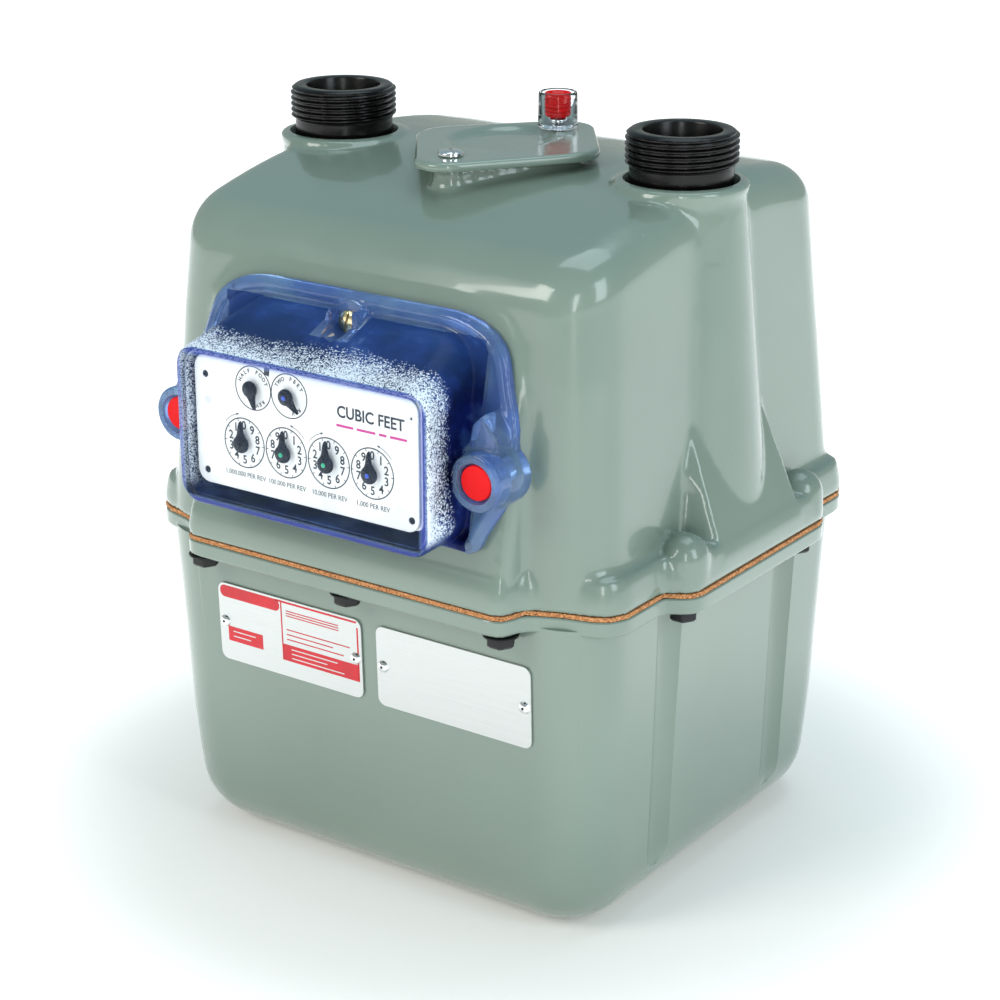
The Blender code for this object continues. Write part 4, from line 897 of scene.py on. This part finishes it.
def make_seal():
    """The clear cup, the red plug with its ribs, and the screw under them."""
    low, high = box_mm("seal_cup")
    seat, top = low.z, high.z
    cup = (
        (2.4, seat), (7.0, seat), (7.5, seat + 0.5), (7.55, seat + 1.6), (7.35, top - 1.0), (7.1, top - 0.2),
        (6.7, top), (6.3, top - 0.3), (6.2, top - 1.0), (6.25, seat + 2.4), (5.6, seat + 1.5),
        (2.4, seat + 1.5),
    )
    dress_case(turned("seal_cup_clear", cup, 72, at=SEAL_SCREW, sharp=50.0), "clear_cup", "seal_cup")
    plug = [(0.0, 283.5), (2.2, 283.5), (2.6, 282.6), (3.6, 282.6), (4.0, 283.6), (4.8, 283.5), (5.1, 283.0)]
    for k in range(5):
        rib = 282.6 - 1.62 * k
        plug += [(5.1, rib), (5.1, rib - 0.75), (4.45, rib - 0.95), (4.35, rib - 1.3), (4.8, rib - 1.55)]
    plug += [(3.4, 274.6), (0.0, 274.5)]
    dress_case(turned("seal_plug_red", plug, 64, at=SEAL_SCREW), "red_plastic", "seal_plug")
    face = box_mm("seal_screw")[1].z - 2.0
    size = (face, 2.0, 3.6, SHANK_END, 20.0)
    slotted_screw("seal_screw_head", "seal_screw", "Z", SEAL_SCREW, *size, "bright_screw")


# ---- the index box
def window_ring(half_low, half_high, low, high, radius, y):
    """A rounded outline whose width tapers between two heights; y is a number or a function of z."""
    ring = []
    for x, z in rounded_box((-60.0, low), (60.0, high), radius, 12):
        half = half_low + (half_high - half_low) * (z - low) / (high - low)
        ring.append((math.copysign(abs(x) - 60.0 + half, x), y(z) if callable(y) else y, z))
    return ring


RIM_PLATE_HALF = (
    (43.0, 231.0), (53.0, 229.0), (60.5, 225.0), (65.0, 219.5), (68.0, 208.0), (71.0, 200.0),
    (73.0, 190.0), (72.0, 171.5), (63.5, 157.5), (62.5, 153.5), (58.7, 151.0), (54.5, 151.5),
)


def off_plinth(offset):
    """The y of a surface that lies behind the front plinth by offset, as a function of z."""
    return lambda z: plinth_y(z) + offset


def index_bead(outline):
    """The raised bead round the rim plate."""
    bead = bpy.data.curves.new("bead", "CURVE")
    bead.dimensions = "3D"
    bead.bevel_depth = 2.3 * MM
    bead.bevel_resolution = 4
    spline = bead.splines.new("POLY")
    spline.points.add(len(outline) - 1)
    spline.use_cyclic_u = True
    for point, (x, z) in zip(spline.points, outline):
        z = 190.0 + (z - 190.0) * 0.935
        point.co = (x * 0.955 * MM, (plinth_y(z) - 2.9) * MM, z * MM, 1.0)
    return linked("bead_mesh", from_curve(bead))


def index_solids():
    """The rim plate with its bead, the box, the tubes with their webs, and the screw's hood."""
    left = [(-x, z) for x, z in reversed(RIM_PLATE_HALF)]
    outline = round_corners([*RIM_PLATE_HALF, *left], 5.0, 4)
    pieces = [skin("rim", [[(x, plinth_y(z) - lift, z) for x, z in outline] for lift in (0.35, 3.4)])]
    rings = []
    for inset, back in ((2.2, 0.0), (1.5, 0.12), (0.8, 0.5), (0.25, 1.1), (0.0, 2.0)):
        half = 55.5 - inset
        rings.append(window_ring(half, half, 153.5 + inset, 212.0 - inset, 8.0, WINDOW_FRONT + back))
    rings.append(window_ring(57.0, 51.0, 152.5, 225.5, 14.0, off_plinth(-1.5)))
    pieces += [skin("box", rings), index_bead(outline)]
    tube = (
        (0.0, -94.0), (11.2, -94.0), (11.2, -99.5), (10.6, -103.0), (10.2, -105.0), (10.2, -111.4),
        (9.6, -112.0), (0.0, -112.0),
    )
    web = ((52.0, 186.0), (60.0, 192.0), (61.5, 199.0), (66.0, 203.0), (70.0, 196.0), (72.0, 184.0))
    for side in (-1.0, 1.0):
        pieces.append(turned("tube", tube, 72, "Y", (side * TUBE_X, TUBE_Z)))
        pieces.append(slab("web", [(side * x, z) for x, z in web], -106.5, -94.0))
    return pieces + [slab("hood", HOOD, -99.0, -89.0)]


def share_materials(body):
    """Gives the window's front face the clear material and the sides of the box the frosted one."""
    body.data.materials.append(FROSTED.material)
    body.data.materials.append(CLEAR_FRONT.material)
    count = len(body.data.polygons)
    centres, normals = np.zeros(count * 3), np.zeros(count * 3)
    body.data.polygons.foreach_get("center", centres)
    body.data.polygons.foreach_get("normal", normals)
    x, y, z = (centres.reshape(-1, 3) / MM).T
    clear = (y < WINDOW_FRONT + 3.0) & (np.abs(normals.reshape(-1, 3)[:, 1]) > 0.8)
    lean = -plinth_y(0.0) - 0.19 * z - 5.0
    in_box = (-y > lean + 1.0) & (np.abs(x) < 57.5) & (z > 152.0) & (z < 224.0) & (y > WINDOW_FRONT + 0.9)
    hood_zone = (np.abs(x) < 8.5) & (z > 214.0) & (y > -106.0)
    picked = np.where(clear, 2, np.where(in_box & ~hood_zone, 1, 0))
    body.data.polygons.foreach_set("material_index", picked.astype(int).tolist())


def make_index_cover():
    """The moulded window box: a hollow casting with wells for the discs and a groove for its top screw."""
    body = cast(joined("index_window", index_solids()), 0.62, 3)
    inside = []
    for inset, back in ((1.6, 0.0), (0.6, 0.35), (0.0, 1.4)):
        half = 53.3 - inset
        inside.append(window_ring(half, half, 155.7 + inset, 209.8 - inset, 6.0, WINDOW_FRONT + 2.2 + back))
    inside.append(window_ring(54.8, 48.8, 154.7, 223.3, 12.0, off_plinth(3.0)))
    carved(body, [skin("inside", inside)], solver="MANIFOLD")
    boss = slab("boss", [(x * 0.93, TOP_SCREW_Z + (z - TOP_SCREW_Z) * 0.93) for x, z in HOOD], -112.0, -92.0)
    front_end = window_ring(54.0, 50.0, 154.5, 211.0, 8.0, WINDOW_FRONT + 3.0)
    back_end = window_ring(56.0, 50.0, 153.5, 224.2, 14.0, off_plinth(-1.0))
    carved(boss, [skin("slope", [front_end, back_end])], "INTERSECT")
    carved(body, [boss], "UNION", "MANIFOLD")
    groove = ((0.0, -93.6), (5.2, -93.6), (5.0, -104.0), (4.0, -112.0), (2.6, -118.0), (0.0, -121.0))
    trench = []
    for half, y in ((2.2, -119.0), (4.0, -112.0), (5.0, -104.0), (5.2, -93.6)):
        trench.append([(-half, y, TOP_SCREW_Z), (half, y, TOP_SCREW_Z), (half, y, 240.0), (-half, y, 240.0)])
    tools = [turned("groove", groove, 48, "Y", (0.0, TOP_SCREW_Z)), skin("trench", trench)]
    tools.append(rod("hole", SCREW_HOLE, -96.0, -84.0, 24, "Y", (0.0, TOP_SCREW_Z)))
    well = ((0.0, -102.0), (6.8, -102.0), (6.8, -111.0), (7.4, -112.2), (7.4, -114.0), (0.0, -114.0))
    for x in (-TUBE_X, TUBE_X):
        tools.append(turned("well", well, 64, "Y", (x, TUBE_Z)))
        tools.append(rod("hole", SCREW_HOLE, -103.0, -90.0, 24, "Y", (x, TUBE_Z)))
    carved(body, tools, solver="MANIFOLD")
    dress_case(shade(body, True, 40.0), "blue_window", "index_cover")
    share_materials(body)


def make_plugs():
    for side in ("left", "right"):
        node = f"index_plug_{side}"
        low, high = box_mm(node)
        disc = (
            (0.0, low.y + 0.15), (4.8, low.y + 0.1), (5.9, low.y), (6.25, low.y + 0.4), (6.3, high.y - 0.4),
            (5.9, high.y), (0.0, high.y),
        )
        made = turned(f"tamper_disc_{side}", disc, 64, "Y", (middle_mm(node).x, TUBE_Z))
        dress_case(made, "red_plastic", node)


# ---- the dial plate and its print
def printed(name, pieces, look, slot="dial_white"):
    return dress(shade(joined(name, pieces), False), look, "case", slot)


def flat_patch(outline):
    """A thin raised patch of ink on the dial plate, from an outline in X and Z."""
    return slab("patch", outline, DIAL_FRONT, DIAL_FRONT - 0.05)


def annulus(at, radius, width):
    """A ring of ink on the dial plate."""
    inner, outer, top = radius - width / 2, radius + width / 2, DIAL_FRONT - INK
    profile = ((inner, DIAL_FRONT), (outer, DIAL_FRONT), (outer, top), (inner, top))
    return turned("ring", profile, 72, "Y", at)


def letters(text, size, at, spin_deg=0.0, stretch=1.0, weight=0.05):
    """Raised letters on the dial plate, centred at x, z and turned clockwise by spin_deg."""
    curve = bpy.data.curves.new("letters", "FONT")
    curve.body = text
    curve.size = size * MM
    curve.align_x = "CENTER"
    curve.align_y = "CENTER"
    curve.extrude = INK / 2.0 * MM
    curve.offset = weight * MM
    curve.resolution_u = 3
    mesh = from_curve(curve)
    mesh.transform(Matrix.Diagonal((stretch, 1.0, 1.0, 1.0)))
    mesh.transform(Matrix.Rotation(math.radians(-spin_deg), 4, "Z"))
    mesh.transform(Matrix.Rotation(math.pi / 2.0, 4, "X"))
    mesh.transform(Matrix.Translation(Vector((at[0], DIAL_FRONT - INK / 2.0, at[1])) * MM))
    return linked("letters_mesh", mesh)


def arc_letters(text, size, at, radius, middle_deg, step_deg):
    """Letters along an arc; angles run clockwise from the top."""
    made = []
    first = middle_deg - step_deg * (len(text) - 1) / 2.0
    for place, letter in enumerate(text):
        if letter == " ":
            continue
        angle = math.radians(first + place * step_deg)
        spot = (at[0] + radius * math.sin(angle), at[1] + radius * math.cos(angle))
        made.append(letters(letter, size, spot, math.degrees(angle)))
    return made


def make_dial_plate():
    """The white plate with its holes, the folded strip at its top, and its rivets."""
    outline = rounded_box((DIAL_LOW.x, DIAL_LOW.z), (DIAL_HIGH.x, DIAL_HIGH.z), 5.0, 10)
    inner = [(x * 0.9965, 183.85 + (z - 183.85) * 0.994) for x, z in outline]
    levels = ((outline, DIAL_HIGH.y), (outline, DIAL_FRONT + 0.15), (inner, DIAL_FRONT))
    plate = skin("dial_face", [[(x, y, z) for x, z in points] for points, y in levels])
    rivets = ((-46.4, 200.6), (-47.1, 164.8), (44.4, 164.5))
    holes = [(1.3, (x, DIAL_Z)) for x in DIAL_X] + [(1.3, HALF_FOOT), (1.3, TWO_FEET)]
    holes += [(1.35, at) for at in rivets]
    tools = [rod("hole", radius, DIAL_HIGH.y + 1.0, DIAL_FRONT - 1.0, 24, "Y", at) for radius, at in holes]
    tools.append(rod("hole", 0.6, DIAL_HIGH.y + 1.0, DIAL_FRONT - 1.0, 16, "Y", (44.6, 200.8)))
    dress_case(shade(carved(plate, tools), True, 30.0), "dial_white", "dial_plate")
    strip = (
        (-117.2, 207.9), (-117.0, 208.9), (-116.2, 209.9), (-114.6, 210.7), (-112.6, 211.0),
        (-112.6, 210.5), (-114.5, 210.2), (-115.8, 209.5), (-116.5, 208.7), (-116.7, 207.9),
    )
    fold = [[(x, y, z) for y, z in strip] for x in (DIAL_LOW.x + 5.0, DIAL_HIGH.x - 6.0)]
    dress_case(skin("dial_fold", fold, sharp=50.0), "dial_white")
    dimple = rod("dial_dimple", 1.5, DIAL_FRONT - 0.02, DIAL_FRONT - 0.12, 32, "Y", (-45.6, 191.3))
    dress_case(dimple, "frame_aluminium")
    head = ((0.0, -116.97), (1.25, -116.97), (1.25, -117.6), (0.9, -117.9), (0.0, -118.0))
    for number, at in enumerate(rivets, 1):
        dress_case(turned(f"dial_rivet_{number}", head, 32, "Y", at), "hand_black")


def dial_marks(at, turn):
    """One dial's circle, its numerals and ticks, and the curved arrow over it; turn is 1 for clockwise."""
    marks = [annulus(at, 9.06, 0.42)]
    for number in range(10):
        angle = math.radians(36.0 * number) * turn
        spot = (at[0] + 6.35 * math.sin(angle), at[1] + 6.35 * math.cos(angle))
        marks.append(letters(str(number), 4.4, spot, stretch=0.92, weight=0.08))
        half = math.radians((36.0 * number + 18.0) * turn)
        way = Vector((math.sin(half), math.cos(half)))
        side = Vector((way.y, -way.x)) * 0.12
        corners = ((8.0, 1), (8.95, 1), (8.95, -1), (8.0, -1))
        marks.append(flat_patch([Vector(at) + way * reach + side * s for reach, s in corners]))
    arrow = []
    for k in range(9):
        angle = math.radians(-52.0 + 34.0 * k / 8) * -turn
        arrow.append((at[0] + 10.6 * math.sin(angle), at[1] + 10.6 * math.cos(angle)))
    marks.append(flat_patch([(x, z + 0.12) for x, z in arrow] + [(x, z - 0.12) for x, z in reversed(arrow)]))
    tip = Vector(arrow[-1])
    along = (tip - Vector(arrow[-2])).normalized()
    across = Vector((-along.y, along.x))
    marks.append(flat_patch([tip + along * 1.4, tip + across * 0.45, tip - across * 0.45]))
    return marks


def make_dial_print():
    black = []
    for place, x in enumerate(DIAL_X):
        black += dial_marks((x, DIAL_Z), -1.0 if place % 2 == 0 else 1.0)
    for at, words in ((HALF_FOOT, "HALF FOOT"), (TWO_FEET, "TWO FEET")):
        black.append(annulus(at, 7.95, 0.4))
        black += arc_letters(words, 2.0, at, 6.2, 0.0, 17.0)
        black += arc_letters("REV", 1.9, at, 6.2, 150.0, 15.0)
    captions = ("1,000,000 PER REV", "100,000 PER REV", "10,000 PER REV", "1,000 PER REV")
    for x, words in zip(DIAL_X, captions):
        black.append(letters(words, 2.6, (x, DIAL_Z - 11.9), stretch=0.92, weight=0.0))
    black.append(letters("CUBIC FEET", 5.9, (27.3, 197.5), stretch=0.93, weight=0.12))
    notch = ((-19.2, 205.0), (-17.0, 204.6), (-16.6, 207.2), (-17.2, 207.5), (-19.0, 207.5))
    black.append(flat_patch(notch))
    printed("dial_print_black", black, "ink_black")
    dashes = []
    x = 12.5
    for length in (7.4, 8.0, 3.2, 7.2):
        dashes.append(flat_patch(((x, 192.2), (x + length, 192.2), (x + length, 193.1), (x, 193.1))))
        x += length + 1.5
    printed("dial_print_magenta", dashes, "ink_magenta")


def make_hand(name, at, turn_deg, length, hub, pin_look):
    """A black teardrop hand on its arbor: flat tail, domed hub and a pointer that thins to its tip."""
    node = f"hand_{name}"
    points = [(0.0, length), (0.42, length - 0.9), (0.72, length - 2.4), (1.05, hub + 0.9)]
    for k in range(25):
        angle = math.radians(56.0 - 292.0 * k / 24.0)
        points.append((hub * math.cos(angle), hub * math.sin(angle)))
    points += [(-1.05, hub + 0.9), (-0.72, length - 2.4), (-0.42, length - 0.9)]
    spin = math.radians(turn_deg)

    def placed(x, z, y):
        across = at[0] + x * math.cos(spin) + z * math.sin(spin)
        return across, y, at[1] - x * math.sin(spin) + z * math.cos(spin)

    rings = []
    for shrink, y in ((0.97, -119.2), (1.0, -119.35), (1.0, -119.9), (0.94, -120.5), (0.78, -120.85)):
        tail, tip = shrink, 0.5 + shrink / 2.0
        rings.append([placed(x * shrink, z * (tail if z < hub else tip), y) for x, z in points])
    dress(skin(f"pointer_{name}", rings, sharp=50.0), "hand_black", BODY_OF[node], "hand_black", node)
    cap = ((0.0, -121.25), (0.6, -121.2), (0.85, -121.05), (0.85, -120.75), (0.0, -120.75))
    dress(turned(f"pointer_pin_{name}", cap, 32, "Y", at), pin_look, BODY_OF[node], "hand_black")
    stem = rod(f"pointer_stem_{name}", 1.15, -119.3, DIAL_FRONT - 0.15, 24, "Y", at)
    dress(stem, "hand_black", BODY_OF[node], "hand_black")


def make_hands():
    looks = ("hand_black", "pin_green", "pin_green", "pin_blue")
    for place, name in enumerate(("million", "hundred_thousand", "ten_thousand", "one_thousand")):
        make_hand(name, (DIAL_X[place], DIAL_Z), 0.0, 8.5, 3.25, looks[place])
    make_hand("half_foot", HALF_FOOT, 163.0, 7.4, 3.0, "hand_black")
    make_hand("two_feet", TWO_FEET, 133.0, 7.4, 3.0, "pin_blue")


# ---- nameplates
def on_wall(outline, low, high, name="patch"):
    """A thin sheet that lies on the sloping front wall, from an outline in X and Z."""
    rings = []
    for lift in (low, high):
        rings.append([(x, -lower_half(z)[1] - lift, z) for x, z in outline])
    return skin(name, rings, sharp=30.0)


def wall_patch(left, right, low, high, lift=0.95):
    """A thin rectangle of ink over a nameplate."""
    return on_wall(((left, low), (right, low), (right, high), (left, high)), lift, lift + 0.05)


def make_nameplates():
    """Two brushed plates on the front wall, each held by two round rivets."""
    rivet_z = 93.0
    y = -lower_half(rivet_z)[1]
    dome = ((0.0, y - 2.15), (1.0, y - 2.1), (1.9, y - 1.7), (2.35, y - 0.95), (0.0, y - 0.95))
    for side in ("left", "right"):
        low, high = box_mm(f"nameplate_{side}")
        outline = rounded_box((low.x, low.z), (high.x, high.z), 3.2, 10)
        plate = on_wall(outline, 0.3, 0.95, f"rating_plate_{side}")
        dress_case(plate, "plate_aluminium", f"nameplate_{side}")
        for number, x in enumerate((low.x + 2.9, high.x - 2.8), 1):
            at = (x, rivet_z)
            dress_case(turned(f"rivet_{side}_{number}", dome, 40, "Y", at), "bright_screw")
            # Painted shade: a black disc on each rivet's crown stands in for its shaded hollow centre.
            dress_case(rod(f"rivet_hole_shade_{side}_{number}", 0.55, y - 2.12, y - 2.2, 20, "Y", at), "hand_black")


def make_rating_print():
    """Red fields and lines on the left plate, with pale lines over the red."""
    low, high = box_mm("nameplate_left")
    x0, x1, z0, z1 = low.x, high.x, low.z, high.z
    red = [on_wall(rounded_box((x0 + 1.0, z1 - 5.6), (x0 + 30.0, z1 - 0.8), 2.2, 6), 0.95, 1.0)]
    red.append(wall_patch(x0 + 28.0, x1 - 2.0, z1 - 1.5, z1 - 0.7))
    red.append(wall_patch(x0 + 30.5, x0 + 31.1, z0 + 6.5, z1 - 1.4))
    red.append(wall_patch(x1 - 2.0, x1 - 1.3, z0 + 6.5, z1 - 3.2))
    red.append(wall_patch(x0 + 31.0, x1 - 1.6, z0 + 6.5, z0 + 13.2))
    red.append(wall_patch(x0 + 4.0, x0 + 21.0, z0 + 8.0, z0 + 14.0))
    for row in range(3):
        z = z1 - 4.2 - row
        red.append(wall_patch(x0 + 33.0, x0 + 58.0, z - 0.4, z))
    for row, length in enumerate((30.0, 22.0, 27.0)):
        z = z0 + 19.6 - row * 2.0
        red.append(wall_patch(x0 + 33.0, x0 + 33.0 + length, z - 0.45, z))
    printed("rating_print_red", red, "ink_red", "plate_aluminium")
    pale = []
    columns = ((x0 + 35.0, z0 + 11.8, 1.8, (22.0, 17.0, 25.0)), (x0 + 6.5, z0 + 12.4, 2.0, (11.0, 8.5)))
    for x, top, pitch, lengths in columns:
        for row, length in enumerate(lengths):
            z = top - row * pitch
            pale.append(wall_patch(x, x + length, z - 0.4, z, 0.99))
    printed("rating_print_pale", pale, "plate_aluminium", "plate_aluminium")


# ---- camera, floor and light
def make_stage():
    scene = bpy.context.scene
    scene.view_settings.view_transform = "Standard"
    lens = bpy.data.cameras.new("camera")
    lens.lens = 89.05
    lens.sensor_width = 36.0
    lens.shift_x = -0.0053
    lens.clip_start = 0.05
    camera = linked("camera", lens)
    camera.location = (0.5211, -0.7401, 0.4551)
    aim = Vector((0.0, 0.0, 0.128))
    camera.rotation_mode = "QUATERNION"
    camera.rotation_quaternion = (aim - camera.location).to_track_quat("-Z", "Y")
    scene.camera = camera

    floor = block("floor", (-4000.0, -4000.0, -2.0), (4000.0, 4000.0, -0.1))
    pale = Look("floor_glow_painted_shadow", (0.95, 0.9, 0.86), 0.7, Specular_IOR_Level=0.1)
    # The floor glows as painted light, more the farther it lies from the meter: white far off, with a painted
    # shadow round the base where it glows least.
    reach = pale.tree.nodes.new("ShaderNodeVectorMath")
    reach.operation = "LENGTH"
    pale.tree.links.new(pale.place, reach.inputs[0])
    pale.set("Emission Color", (1.0, 1.0, 1.0, 1.0))
    pale.link(pale.spread(reach.outputs["Value"], 0.14, 0.28, 0.16, 0.82), "Emission Strength")
    tone = pale.ramp(pale.noise(2.0, 2.0), (0.3, (0.94, 0.89, 0.85)), (0.7, (0.96, 0.91, 0.87)))
    pale.link(tone, "Base Color")
    floor.data.materials.append(pale.material)

    world = bpy.data.worlds.new("studio")
    scene.world = world
    world.use_nodes = True
    tree = world.node_tree
    coordinates = tree.nodes.new("ShaderNodeTexCoord")
    split = tree.nodes.new("ShaderNodeSeparateXYZ")
    ramp = tree.nodes.new("ShaderNodeValToRGB")
    ramp.color_ramp.elements[0].position = 0.0
    ramp.color_ramp.elements[0].color = (0.95, 1.0, 0.92, 1.0)
    ramp.color_ramp.elements[1].position = 0.55
    ramp.color_ramp.elements[1].color = (0.62, 0.88, 1.0, 1.0)
    tree.links.new(coordinates.outputs["Generated"], split.inputs["Vector"])
    tree.links.new(split.outputs["Z"], ramp.inputs["Fac"])
    tree.links.new(ramp.outputs["Color"], tree.nodes["Background"].inputs["Color"])
    tree.nodes["Background"].inputs["Strength"].default_value = 0.42

    def soft_box(name, place, energy, width, height, colour=(1.0, 1.0, 1.0)):
        light = bpy.data.lights.new(name, "AREA")
        light.energy = energy
        light.shape = "RECTANGLE"
        light.size = width
        light.size_y = height
        light.color = colour
        made = linked(name, light)
        made.location = place
        made.rotation_mode = "QUATERNION"
        made.rotation_quaternion = (Vector((0.0, 0.0, 0.14)) - made.location).to_track_quat("-Z", "Y")

    soft_box("key", (-0.55, -1.35, 1.05), 9.8, 0.7, 0.7, (1.0, 0.97, 0.9))
    soft_box("fill", (1.6, -0.25, 0.9), 9.5, 0.6, 1.2, (0.84, 0.95, 1.0))
    soft_box("corner", (0.95, -1.25, 0.62), 3.6, 0.22, 0.9)
    soft_box("top", (0.0, 0.3, 1.8), 9.5, 1.2, 1.2, (0.8, 0.94, 1.0))


def dress_carried():
    """Gives every CAD node that stays its own procedural finish."""
    for node, obj in NODES.items():
        material = LOOKS[SLOT_OF[node]].material
        if obj.material_slots:
            for slot in obj.material_slots:
                slot.material = material
        else:
            obj.data.materials.append(material)


def main():
    dress_carried()
    make_stage()
    make_upper_case()
    make_lower_case()
    make_nipple("inlet_thread", "inlet_nipple", INLET.x)
    make_nipple("outlet_thread", "outlet_nipple", OUTLET.x)
    for number, at in enumerate(BOLTS, 1):
        make_bolt(number, at)
    make_cover()
    size = (COVER_TOP + 0.3, 2.1, 4.65, SHANK_END, 50.0)
    slotted_screw("cover_screw_head", "cover_screw", "Z", COVER_SCREW, *size, "bright_screw")
    make_seal()
    make_index_cover()
    size = (-93.8, 2.0, 4.2, -84.6, 15.0)
    slotted_screw("index_screw_head", "index_top_screw", "Y", (0.0, TOP_SCREW_Z), *size, "brass_screw")
    make_plugs()
    make_dial_plate()
    make_dial_print()
    make_hands()
    make_nameplates()
    make_rating_print()


main()
